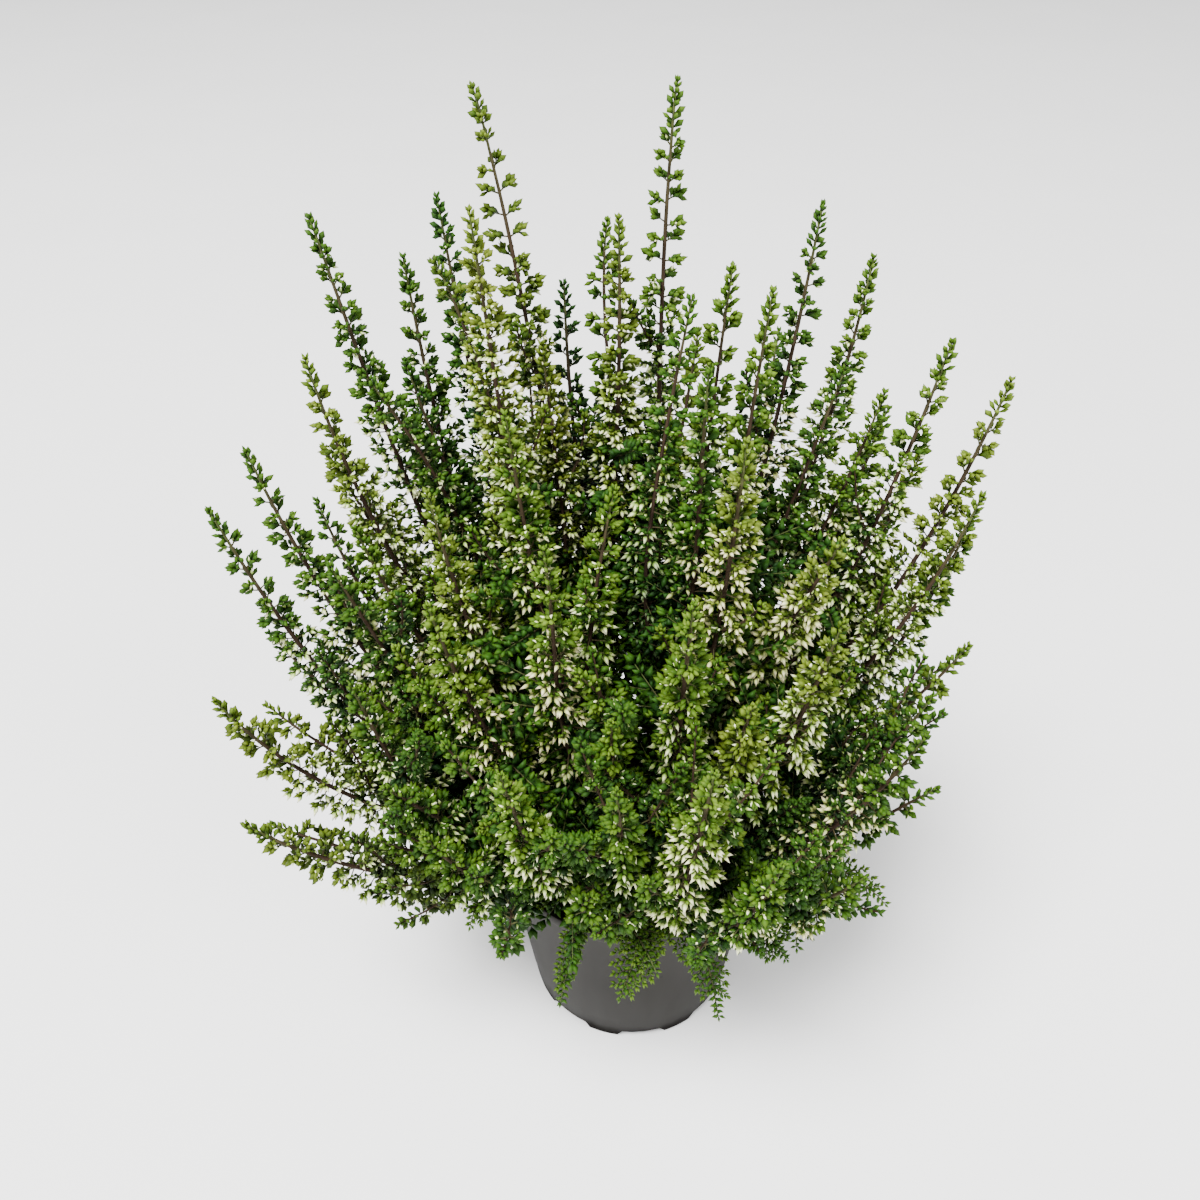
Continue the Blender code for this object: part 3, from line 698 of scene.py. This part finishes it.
def add_side_shoots(growth, strand, course, root, look, rng):
    """Small budded shoots that leave a spike's stem and stand up beside it."""
    tone, bloom, _, olive = look
    low = strand.rest[-1][2] < LOW_SPRAY
    count = SIDE_SHOOTS.get(strand.name, 7 if low else 4) if strand.parent is None else 1
    span = (0.8 if low else 0.7) * course.length - root
    for step in range(count):
        distance = root + 2 + span * (step + rng.uniform(0.1, 0.9)) / count
        for _ in range(5):
            place, axis, out, _ = course.read(distance, rng.uniform(0, 2 * math.pi))
            if out.z > -0.25:
                break
        size = rng.uniform(30, 52) if low else rng.uniform(20, 38)
        end = place + (axis + out * rng.uniform(0.45, 0.75)).normalized() * size
        if depth_share(end) > 0.97:
            continue
        if end.z < place.z:
            end.z = place.z + 0.3 * size
        if end.z < POT_HEIGHT + 8 or place.z < PEAT_TOP + 8:
            end.z = place.z + 0.8 * size
        bend = place + out * 0.3 * size + axis * 0.2 * size
        line = arc(np.array(place), np.array(bend), np.array(end), 9)
        width = np.linspace(6.0, 3.5, 9) * size / 32
        growth.line(STEM, [Vector(point) for point in line[::2]], (0.5, 0.45, 0.4, 0.35, 0.3), (0.3,) * 5)
        small = (tone - 0.2 + 0.1 * step / count, 0.75 * bloom, 0.75, olive)
        clothe(growth, Course(line, width, width), 0.12 * size, small, rng, 0.85 if low else 0.6)


def dress_heart(growth, strand, tone, rng):
    """Plain leafy shoots along the lower part of a spray's stem, in the shade of the rest."""
    course = Course(strand.line, strand.width, strand.wide)
    central = np.linalg.norm(strand.rest[-1][:2]) < 60
    count, crowding, lengths = (46, 1.4, (20, 36)) if central else (12, 1, (18, 32))
    for step in range(count):
        share = ((step + rng.uniform(0, 0.9)) / count) ** crowding
        distance = course.length * (FORK_AT + 0.02 + 0.46 * share)
        place, axis, out, _ = course.read(distance, rng.uniform(0, 2 * math.pi))
        way = axis * rng.uniform(0.3, 0.9) + out
        length = rng.uniform(*lengths)
        if (place + way.normalized() * length).z < PEAT_TOP + 8:
            way.z = 0.3
        end = place + way.normalized() * length
        past_rim = end.z < POT_HEIGHT + 12 and math.hypot(end.x, end.y) > POT_RIM_RADIUS + 3
        if depth_share(end) > 0.72 or past_rim:
            continue
        # These shoots are 0.4 lower in tone: painted shade in the heart of the bush.
        add_leafy_twig(growth, place, way, length, 6.5, tone - 0.4, rng, 2.7)


def dress_shoot(growth, strand, rng):
    """A leafy shoot at the rim, feathered with side shoots that shorten towards its tip."""
    course = Course(strand.line, strand.width, strand.wide)
    foot = max(strand.bare, 0.1) * course.length
    stops = np.linspace(stem_root(strand, course), course.length, max(6, int(course.length / 5)))
    places = [course.place(stop) for stop in stops]
    growth.line(STEM, places, np.linspace(0.6, 0.22, len(stops)), np.linspace(0.3, 0.9, len(stops)))
    tone = rng.uniform(0.38, 0.48)
    turn = rng.uniform(0, math.pi)
    distance = foot
    pair = 0
    while distance < course.length:
        t = (distance - foot) / (course.length - foot)
        for hand in (0, math.pi):
            place, axis, out, _ = course.read(distance, turn + hand + (pair % 2) * math.pi / 2)
            direction = shaken(out + axis * 0.42, 0.12, rng)
            size = 4.1 * ramp(t, (0, 0.6, 1), (1, 1, 0.7)) * rng.uniform(0.85, 1.1)
            growth.add(LEAF, place, direction, size, tone + 0.16 * t + rng.uniform(-0.06, 0.06))
        if pair % 4 == 0 and t < 0.85:
            for hand in (0, math.pi):
                place, axis, out, _ = course.read(distance, turn + hand)
                length = ramp(t, (0, 0.5, 0.85), (15, 11, 5)) * rng.uniform(0.8, 1.1)
                add_leafy_twig(growth, place, out + axis * 0.9, length, 3.3, tone + 0.05, rng, 1.25)
        distance += 1.2
        pair += 1
    place, axis, out, _ = course.read(course.length, 0)
    growth.add(LEAF, place, axis, 2.6, tone + 0.2)


# Node trees


class Net:
    """A node tree that is built up node by node."""

    def __init__(self, tree):
        self.tree = tree

    def fill(self, node, inputs):
        """Links or sets a node's inputs, each given by its name or its number."""
        for key, value in inputs.items():
            if isinstance(value, bpy.types.NodeSocket):
                self.tree.links.new(value, node.inputs[key])
            else:
                node.inputs[key].default_value = value

    def add(self, kind, inputs=(), **settings):
        node = self.tree.nodes.new(kind)
        for name, value in settings.items():
            setattr(node, name, value)
        self.fill(node, dict(inputs))
        return node

    def calculate(self, operation, *values):
        return self.add("ShaderNodeMath", enumerate(values), operation=operation).outputs[0]

    def sockets(self, way, rows):
        """The tree's own sockets: name, form and the default value, if any."""
        for name, form, *default in rows:
            socket = self.tree.interface.new_socket(name=name, in_out=way, socket_type="NodeSocket" + form)
            if default:
                socket.default_value = default[0]


def part_mesh(name, sides, height, radius, flat):
    """A small closed spindle of unit length along +Z, widest at a height."""
    points = [(0, 0, 0)]
    for side in range(sides):
        angle = 2 * math.pi * side / sides
        points.append((radius * math.cos(angle), flat * radius * math.sin(angle), height))
    points.append((0, 0, 1))
    faces = []
    for side in range(sides):
        after = (side + 1) % sides
        faces.append((0, 1 + after, 1 + side))
        faces.append((1 + side, 1 + after, sides + 1))
    mesh = bpy.data.meshes.new(name)
    mesh.from_pydata(points, [], faces)
    layer = mesh.attributes.new("along", "FLOAT", "POINT")
    layer.data.foreach_set("value", [point[2] for point in points])
    mesh.shade_smooth()
    return linked(name, mesh)


def linked(name, data):
    """A new object in the scene."""
    obj = bpy.data.objects.new(name, data)
    bpy.context.scene.collection.objects.link(obj)
    return obj


def growth_tree():
    """Buds, knobs and leaves set on a piece's points, and stems drawn round its lines."""
    tree = bpy.data.node_groups.new("heather_growth", "GeometryNodeTree")
    net = Net(tree)
    net.sockets("INPUT", (
        ("Growth", "Geometry"), ("Bud", "Object"), ("Knob", "Object"), ("Leaf", "Object"),
        ("Bud finish", "Material"), ("Leaf finish", "Material"), ("Stem finish", "Material"),
        ("Stem sides", "Int", 6), ("Twig sides", "Int", 3), ("Seed", "Int", SEED),
    ))
    net.sockets("OUTPUT", (("Piece", "Geometry"),))
    given = net.add("NodeGroupInput").outputs

    def attribute(name, form):
        node = net.add("GeometryNodeInputNamedAttribute", {"Name": name}, data_type=form)
        return node.outputs["Attribute"]

    def is_kind(kind):
        whole = {2: attribute("kind", "INT"), 3: kind}
        return net.add("FunctionNodeCompare", whole, data_type="INT", operation="EQUAL").outputs["Result"]

    # Each repeat points along its way and is rolled about it by a seeded random turn.
    way = attribute("way", "FLOAT_VECTOR")
    align = net.add("FunctionNodeAlignRotationToVector", {"Vector": way}, axis="Z")
    roll = net.add("FunctionNodeRandomValue", {3: 2 * math.pi, "Seed": given["Seed"]}, data_type="FLOAT")
    turn = net.add("ShaderNodeCombineXYZ", {"Z": roll.outputs[1]})
    rolled = net.add("FunctionNodeEulerToRotation", {0: turn.outputs[0]})
    rotation = net.add("FunctionNodeRotateRotation", {0: align.outputs[0], 1: rolled.outputs[0]},
                       rotation_space="LOCAL").outputs[0]

    join = net.add("GeometryNodeJoinGeometry")
    for kind, name in ((BUD, "Bud"), (KNOB, "Knob"), (LEAF, "Leaf")):
        info = net.add("GeometryNodeObjectInfo", {"Object": given[name]})
        place = net.add("GeometryNodeInstanceOnPoints", {
            "Points": given["Growth"], "Selection": is_kind(kind), "Instance": info.outputs["Geometry"],
            "Rotation": rotation, "Scale": attribute("size", "FLOAT")})
        net.fill(join, {0: place.outputs[0]})
    for kind, sides in ((STEM, "Stem sides"), (TWIG, "Twig sides")):
        chosen = {"Geometry": given["Growth"], "Selection": is_kind(kind)}
        apart = net.add("GeometryNodeSeparateGeometry", chosen, domain="POINT")
        curve = net.add("GeometryNodeMeshToCurve", {0: apart.outputs["Selection"]})
        ring = net.add("GeometryNodeCurvePrimitiveCircle", {"Resolution": given[sides], "Radius": 1.0})
        skin = net.add("GeometryNodeCurveToMesh", {
            "Curve": curve.outputs[0], "Profile Curve": ring.outputs[0],
            "Scale": attribute("size", "FLOAT"), "Fill Caps": True})
        smooth = net.add("GeometryNodeSetShadeSmooth", {0: skin.outputs[0]})
        net.fill(join, {0: smooth.outputs[0]})

    last = net.add("GeometryNodeRealizeInstances", {0: join.outputs[0]}).outputs[0]
    finishes = ((BUD, "Bud"), (KNOB, "Leaf"), (LEAF, "Leaf"), (STEM, "Stem"), (TWIG, "Stem"))
    for kind, finish in finishes:
        paint = net.add("GeometryNodeSetMaterial", {
            "Geometry": last, "Selection": is_kind(kind), "Material": given[finish + " finish"]})
        last = paint.outputs[0]
    net.add("NodeGroupOutput", {0: last})
    return tree


def grown_piece(name, growth, tree, parts, finishes):
    """One plain mesh object of all that grows on a piece."""
    holder = linked(name, growth.mesh(name))
    modifier = holder.modifiers.new("growth", "NODES")
    modifier.node_group = tree
    inputs = [item for item in tree.interface.items_tree if item.in_out == "INPUT"]
    identifiers = {item.name: item.identifier for item in inputs}
    for label, value in {**parts, **finishes}.items():
        modifier[identifiers[label]] = value
    bpy.context.view_layer.update()
    graph = bpy.context.evaluated_depsgraph_get()
    mesh = bpy.data.meshes.new_from_object(holder.evaluated_get(graph))
    holder.modifiers.remove(modifier)
    for label in ("way", "size", "kind"):
        if label in mesh.attributes:
            mesh.attributes.remove(mesh.attributes[label])
    holder.data = mesh
    return holder


# Materials


class Finish(Net):
    """A material that is built up round its Principled BSDF."""

    def __init__(self, name):
        self.material = bpy.data.materials.new(name)
        self.material.use_nodes = True
        super().__init__(self.material.node_tree)

    def attribute(self, name):
        return self.add("ShaderNodeAttribute", attribute_name=name).outputs["Fac"]

    def places(self):
        return self.add("ShaderNodeTexCoord").outputs["Object"]

    def noise(self, places, scale, detail):
        inputs = {"Vector": places, "Scale": scale, "Detail": detail}
        return self.add("ShaderNodeTexNoise", inputs).outputs["Fac"]

    def span(self, value, **ends):
        """A value mapped from one span to another, each 0 to 1 unless an end is given."""
        named = {name.replace("_", " "): end for name, end in ends.items()}
        return self.add("ShaderNodeMapRange", {"Value": value, **named}).outputs[0]

    def ramp(self, factor, *stops):
        node = self.add("ShaderNodeValToRGB", {"Fac": factor})
        elements = node.color_ramp.elements
        while len(elements) < len(stops):
            elements.new(0.5)
        for element, (place, colour) in zip(elements, stops):
            element.position = place
            element.color = (*colour, 1)
        return node.outputs["Color"]

    def mix(self, factor, first, second):
        """One colour turned into another by a factor."""
        one, two = ((*value, 1) if isinstance(value, tuple) else value for value in (first, second))
        return self.add("ShaderNodeMix", {"Factor": factor, 6: one, 7: two}, data_type="RGBA").outputs[2]

    def patched(self, colour, group, size, depth):
        """A colour, lighter and darker in soft patches of a size in metres."""
        patch = self.add("ShaderNodeGroup", {"Size": size, "Depth": depth}, node_tree=group)
        scaled = {0: colour, "Scale": patch.outputs["Factor"]}
        return self.add("ShaderNodeVectorMath", scaled, operation="SCALE").outputs[0]

    def bump(self, height, strength, distance):
        inputs = {"Height": height, "Strength": strength, "Distance": distance}
        return self.add("ShaderNodeBump", inputs).outputs["Normal"]

    def done(self, colour, roughness, **others):
        """The material, once its shader has its inputs."""
        named = {name.replace("_", " "): value for name, value in others.items()}
        shader = self.tree.nodes["Principled BSDF"]
        self.fill(shader, {"Base Color": colour, "Roughness": roughness, **named})
        return self.material


def patch_group():
    """Soft patches over a piece: a factor round a middle value, at a size in metres."""
    tree = bpy.data.node_groups.new("soft_patches", "ShaderNodeTree")
    net = Net(tree)
    net.sockets("INPUT", (("Size", "Float", 0.01), ("Depth", "Float", 0.3)))
    net.sockets("OUTPUT", (("Factor", "Float"),))
    given = net.add("NodeGroupInput").outputs
    places = net.add("ShaderNodeTexCoord").outputs["Object"]
    scale = net.calculate("DIVIDE", 1.0, given["Size"])
    clouds = net.add("ShaderNodeTexNoise", {"Vector": places, "Scale": scale, "Detail": 3.0}).outputs["Fac"]
    spread = net.calculate("SUBTRACT", clouds, 0.5)
    net.add("NodeGroupOutput", {"Factor": net.calculate("MULTIPLY_ADD", spread, given["Depth"], 1.0)})
    return tree


def leaf_finish(group):
    """Heather green, from blue-green in the shade to yellow-green at the tips."""
    finish = Finish("heather_leaf")
    # The tone is darker and bluer as painted shade deep in the bush and low on the spikes. Each lobe is
    # lighter at its tip, its own yellow-green, and darker at its base, painted shade between the lobes.
    tone = finish.calculate("MULTIPLY_ADD", finish.attribute("along"), 0.34, finish.attribute("tone"))
    green = finish.ramp(
        tone,
        (0.0, (0.0010, 0.0048, 0.0019)),
        (0.25, (0.0032, 0.0150, 0.0034)),
        (0.5, (0.0088, 0.0360, 0.0026)),
        (0.7, (0.0210, 0.0640, 0.0030)),
        (0.88, (0.0450, 0.0980, 0.0045)),
        (1.0, (0.0850, 0.1450, 0.0120)),
    )
    sallow = finish.ramp(
        tone,
        (0.0, (0.0030, 0.0050, 0.0014)),
        (0.25, (0.0080, 0.0140, 0.0020)),
        (0.5, (0.0270, 0.0400, 0.0030)),
        (0.7, (0.0600, 0.0780, 0.0050)),
        (0.88, (0.1050, 0.1250, 0.0100)),
        (1.0, (0.1600, 0.1800, 0.0240)),
    )
    colour = finish.mix(finish.attribute("flush"), green, sallow)
    return finish.done(finish.patched(colour, group, 0.006, 0.7), 0.6, Specular_IOR_Level=0.12)


def bud_finish(group):
    """Cream-white buds with green bases, some of them flushed with pink, darkened by painted shade where
    their tone is low.
    """
    finish = Finish("heather_bud")
    along = finish.attribute("along")
    petal = finish.ramp(
        along,
        (0.0, (0.02, 0.05, 0.006)),
        (0.28, (0.05, 0.10, 0.010)),
        (0.50, (0.32, 0.44, 0.10)),
        (0.70, (0.84, 0.87, 0.48)),
        (1.0, (0.91, 0.92, 0.68)),
    )
    flush = finish.calculate("MULTIPLY", along, finish.attribute("flush"))
    pinker = finish.mix(flush, petal, (0.62, 0.38, 0.22))
    # Buds of low tone are painted darker and grey-green: painted shade for buds deep in the bush.
    shade = finish.ramp(
        finish.attribute("tone"),
        (0.0, (0.10, 0.16, 0.13)),
        (0.25, (0.38, 0.47, 0.40)),
        (0.46, (0.92, 0.94, 0.87)),
        (0.6, (1, 1, 1)),
    )
    shaded = finish.add("ShaderNodeVectorMath", {0: pinker, 1: shade}, operation="MULTIPLY").outputs[0]
    return finish.done(finish.patched(shaded, group, 0.004, 0.45), 0.45, Specular_IOR_Level=0.3)


def stem_finish(group):
    """Brown bark low on the stems, green wood towards the tips."""
    finish = Finish("heather_stem")
    wood = finish.ramp(
        finish.attribute("tone"),
        (0.0, (0.022, 0.0121, 0.0077)),
        (0.35, (0.034, 0.0205, 0.0118)),
        (0.65, (0.046, 0.0385, 0.0165)),
        (1.0, (0.085, 0.125, 0.030)),
    )
    return finish.done(finish.patched(wood, group, 0.003, 0.8), 0.75, Specular_IOR_Level=0.12)


def bark_finish(group):
    """Dark cracked bark on the crowns at the foot of the plant."""
    finish = Finish("crown_bark")
    cracks = finish.noise(finish.places(), 900.0, 5.0)
    wood = finish.ramp(
        cracks,
        (0.3, (0.0121, 0.0072, 0.005)),
        (0.55, (0.0413, 0.0248, 0.0154)),
        (0.8, (0.077, 0.055, 0.0358)),
    )
    patched = finish.patched(wood, group, 0.008, 0.6)
    return finish.done(patched, 0.85, Normal=finish.bump(cracks, 0.7, 0.0006))


def peat_finish(group):
    """Damp fibrous peat, nearly black, with paler crumbs and threads."""
    finish = Finish("peat_crumb")
    places = finish.places()
    crumbs = finish.add("ShaderNodeTexVoronoi", {"Vector": places, "Scale": 700.0}).outputs["Distance"]
    fibres = finish.noise(places, 1200.0, 6.0)
    earth = finish.ramp(
        fibres,
        (0.3, (0.0033, 0.0022, 0.0017)),
        (0.6, (0.0143, 0.0088, 0.0055)),
        (0.85, (0.0468, 0.0303, 0.0187)),
    )
    height = finish.calculate("MULTIPLY_ADD", crumbs, 0.8, fibres)
    patched = finish.patched(earth, group, 0.012, 0.8)
    return finish.done(patched, 0.92, Specular_IOR_Level=0.15, Normal=finish.bump(height, 0.9, 0.001))


def pot_finish(group):
    """Matte warm-grey moulded plastic, dusty, darker at its foot and lighter towards its top as painted
    light, with a few specks of peat.
    """
    finish = Finish("pot_plastic")
    places = finish.places()
    up = finish.add("ShaderNodeSeparateXYZ", {0: places}).outputs["Z"]
    height = finish.span(up, From_Max=POT_HEIGHT * MM)
    level = finish.calculate("MULTIPLY_ADD", finish.noise(places, 110.0, 4.0), -0.08, height)
    # Darker at the foot, and lighter towards the top as painted light.
    wall = finish.ramp(
        level,
        (0.0, (0.0025, 0.0016, 0.001)),
        (0.035, (0.0045, 0.0032, 0.0022)),
        (0.07, (0.0086, 0.0074, 0.0058)),
        (0.5, (0.0104, 0.0091, 0.0073)),
        (0.95, (0.0165, 0.0147, 0.0121)),
    )
    cells = finish.add("ShaderNodeTexVoronoi", {"Vector": places, "Scale": 75.0}).outputs
    chance = finish.add("ShaderNodeSeparateColor", {0: cells["Color"]}).outputs[0]
    white, black = (1, 1, 1), (0, 0, 0)
    dots = finish.ramp(cells["Distance"], (0.05, white), (0.07, black))
    few = finish.ramp(chance, (0.80, black), (0.82, white))
    # Specks of peat over the wall's colour, which holds the painted light.
    specks_and_painted_light = finish.mix(finish.calculate("MULTIPLY", dots, few), wall, (0.004, 0.003, 0.002))
    long_way = finish.add("ShaderNodeMapping", {"Vector": places, "Scale": (1, 1, 0.25)}).outputs[0]
    streaks = finish.noise(long_way, 60.0, 6.0)
    return finish.done(
        finish.patched(specks_and_painted_light, group, 0.02, 0.35),
        finish.span(streaks, To_Min=0.5, To_Max=0.7),
        Specular_IOR_Level=finish.span(level, From_Max=0.05, To_Min=0.02, To_Max=0.11),
        Normal=finish.bump(streaks, 0.25, 0.0002),
    )


def floor_finish():
    """A plain pale floor with a faint mottle."""
    finish = Finish("pale_floor")
    mottle = finish.noise(finish.places(), 6.0, 2.0)
    return finish.done(finish.ramp(mottle, (0.3, (0.86, 0.86, 0.855)), (0.7, (0.88, 0.88, 0.875))), 0.8)


# The pot and the peat


def turned_mesh(name, profile, sides, lift):
    """A mesh turned from a profile that starts and ends on the axis, in millimetres."""
    shape = bmesh.new()
    rings = []
    for radius, z in profile[1:-1]:
        ring = []
        for step in range(sides):
            angle = 2 * math.pi * step / sides
            place = (radius * math.cos(angle), radius * math.sin(angle), lift(radius, angle, z))
            ring.append(shape.verts.new(Vector(place) * MM))
        rings.append(ring)
    low = shape.verts.new(Vector((0, 0, profile[0][1])) * MM)
    high = shape.verts.new(Vector((0, 0, profile[-1][1])) * MM)
    for step in range(sides):
        after = (step + 1) % sides
        shape.faces.new((low, rings[0][after], rings[0][step]))
        shape.faces.new((high, rings[-1][step], rings[-1][after]))
        for one, two in zip(rings, rings[1:]):
            shape.faces.new((one[step], one[after], two[after], two[step]))
    bmesh.ops.recalc_face_normals(shape, faces=shape.faces)
    mesh = bpy.data.meshes.new(name)
    shape.to_mesh(mesh)
    shape.free()
    mesh.shade_smooth()
    mesh.set_sharp_from_angle(angle=math.radians(35))
    return linked(name, mesh)


def notch_lift(radius, angle, z):
    """Raises the foot ring softly to leave the pot's water notches."""
    turn = (angle / (2 * math.pi) * NOTCHES - 1 / 8) % 1
    inside = min(turn, 1 - turn) * 2
    if z >= CHANNEL or radius < PAD_RADIUS + 5:
        return z
    lift = ramp(inside, (0.5, 0.62), (1, 0))
    return CHANNEL * lift + z * (1 - lift)


def make_pot(finish):
    """The pot's wall with its lip, its floor, and its foot ring round a flat pad."""
    lip_foot = POT_HEIGHT - LIP_HEIGHT
    profile = (
        (0, 0),
        (PAD_RADIUS, 0),
        (PAD_RADIUS + 2, CHANNEL),
        (FOOT_INNER - 2, CHANNEL),
        (FOOT_INNER, 0.4),
        (FOOT_INNER + 0.5, 0),
        (POT_BASE_RADIUS - 0.8, 0),
        (POT_BASE_RADIUS - 0.1, 0.5),
        (wall_radius(CHANNEL + 1.5), CHANNEL + 1.5),
        (wall_radius(14), 14),
        (wall_radius(14.6) + 0.12, 14.6),
        (wall_radius(40), 40),
        (wall_radius(lip_foot - 1.2), lip_foot - 1.2),
        (POT_RIM_RADIUS - 0.25, lip_foot - 0.5),
        (POT_RIM_RADIUS, lip_foot),
        (POT_RIM_RADIUS, POT_HEIGHT - 0.7),
        (POT_RIM_RADIUS - 0.25, POT_HEIGHT - 0.2),
        (POT_RIM_RADIUS - 0.8, POT_HEIGHT),
        (POT_RIM_RADIUS - LIP_OUT - POT_WALL + 0.4, POT_HEIGHT),
        (POT_RIM_RADIUS - LIP_OUT - POT_WALL, POT_HEIGHT - 0.4),
        (wall_radius(40) - POT_WALL, 40),
        (wall_radius(FLOOR_TOP) - POT_WALL, FLOOR_TOP),
        (0, FLOOR_TOP),
    )
    pot = turned_mesh("nursery_pot", profile, POT_SIDES, notch_lift)
    pot.data.materials.append(finish)
    return pot


def crumbly(radius, angle, z):
    """Heaves the peat's top into crumbs and dents."""
    if z < PEAT_TOP - 1:
        return z
    place = Vector((radius * math.cos(angle), radius * math.sin(angle), 3.0))
    for height, pitch in CRUMBS:
        z += height * noise.noise(place * pitch)
    return z


def make_peat(finish):
    """The plug of peat, highest in the middle."""
    inner = wall_radius(FLOOR_TOP) - POT_WALL - GAP
    slope = (POT_RIM_RADIUS - POT_BASE_RADIUS - LIP_OUT) / POT_HEIGHT
    outer = inner + slope * (PEAT_TOP - FLOOR_TOP)
    profile = [(0, FLOOR_TOP + GAP), (inner, FLOOR_TOP + GAP), (outer, PEAT_TOP - 2)]
    for step in range(PEAT_RINGS):
        radius = outer * (1 - step / PEAT_RINGS)
        profile.append((radius, PEAT_TOP + PEAT_RISE * ramp(radius, (0.45 * outer, outer), (1, 0))))
    profile.append((0, PEAT_TOP + PEAT_RISE))
    peat = turned_mesh("peat_plug", profile, PEAT_SIDES, crumbly)
    peat.data.materials.append(finish)
    return peat


# Light, floor and camera


def light(name, place, size, power):
    """A soft square light that faces the plant."""
    data = bpy.data.lights.new(name, "AREA")
    data.size = size
    data.energy = power
    lamp = linked(name, data)
    lamp.location = place
    lamp.rotation_euler = (Vector((0, 0, 0.15)) - Vector(place)).to_track_quat("-Z", "Y").to_euler()


def make_stage():
    """A wide floor just under the pot, a white world and two soft lights."""
    reach, low = 4.0, -0.0006
    corners = [(-reach, -reach, low), (reach, -reach, low), (reach, reach, low), (-reach, reach, low)]
    mesh = bpy.data.meshes.new("floor")
    mesh.from_pydata(corners, [], [(0, 1, 2, 3)])
    mesh.materials.append(floor_finish())
    linked("floor", mesh)
    world = bpy.data.worlds.new("studio")
    world.use_nodes = True
    glow = world.node_tree.nodes["Background"]
    Net(world.node_tree).fill(glow, {"Color": (1, 1, 1, 1), "Strength": 0.75})
    bpy.context.scene.world = world
    light("key", (-0.9, -1.2, 3.2), 1.5, 440)
    light("fill", (2.0, -1.4, 1.8), 1.6, 70)


def make_camera():
    data = bpy.data.cameras.new("camera")
    data.lens = LENS
    data.sensor_width = SENSOR
    camera = linked("camera", data)
    camera.location = CAMERA_PLACE
    camera.rotation_euler = (math.radians(90 - CAMERA_DIP), 0, 0)
    bpy.context.scene.camera = camera


# The whole plant


def dress_node(name, strands, look, rng):
    """All that grows on one node's strands."""
    growth = Growth()
    for strand in strands:
        if strand.kind == "shoot":
            dress_shoot(growth, strand, rng)
            continue
        dress_spike(growth, strand, (*look, OLIVE.get(name, PLAIN_OLIVE)), rng)
        if strand.parent is None:
            dress_heart(growth, strand, look[0], rng)
    return growth


def main():
    group = patch_group()
    finishes = {
        "Bud finish": bud_finish(group),
        "Leaf finish": leaf_finish(group),
        "Stem finish": stem_finish(group),
    }
    parts = {name: part_mesh(name.lower(), *form) for name, form in REPEATS.items()}
    tree = growth_tree()
    strands = grow_strands()
    make_room(strands)
    settle_widths(strands)
    looks = {row[0]: row[5:] for row in SPRAYS}
    names = list(dict.fromkeys(strand.name for strand in strands))
    for index, name in enumerate(names):
        own = [strand for strand in strands if strand.name == name]
        growth = dress_node(name, own, looks.get(name), random.Random(SEED + 100 + index))
        piece = grown_piece(name + "_growth", growth, tree, parts, finishes)
        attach(piece, "root")
        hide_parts(name)
    for part in parts.values():
        bpy.data.objects.remove(part)

    pot = make_pot(pot_finish(group))
    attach(pot, "root")
    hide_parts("pot")
    peat = make_peat(peat_finish(group))
    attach(peat, "root")
    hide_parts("peat")
    bark = bark_finish(group)
    for crown in range(CROWNS):
        for material_slot in frame["nodes"][f"crown_{crown + 1}"].material_slots:
            material_slot.material = bark
    make_stage()
    make_camera()
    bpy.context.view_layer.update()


main()
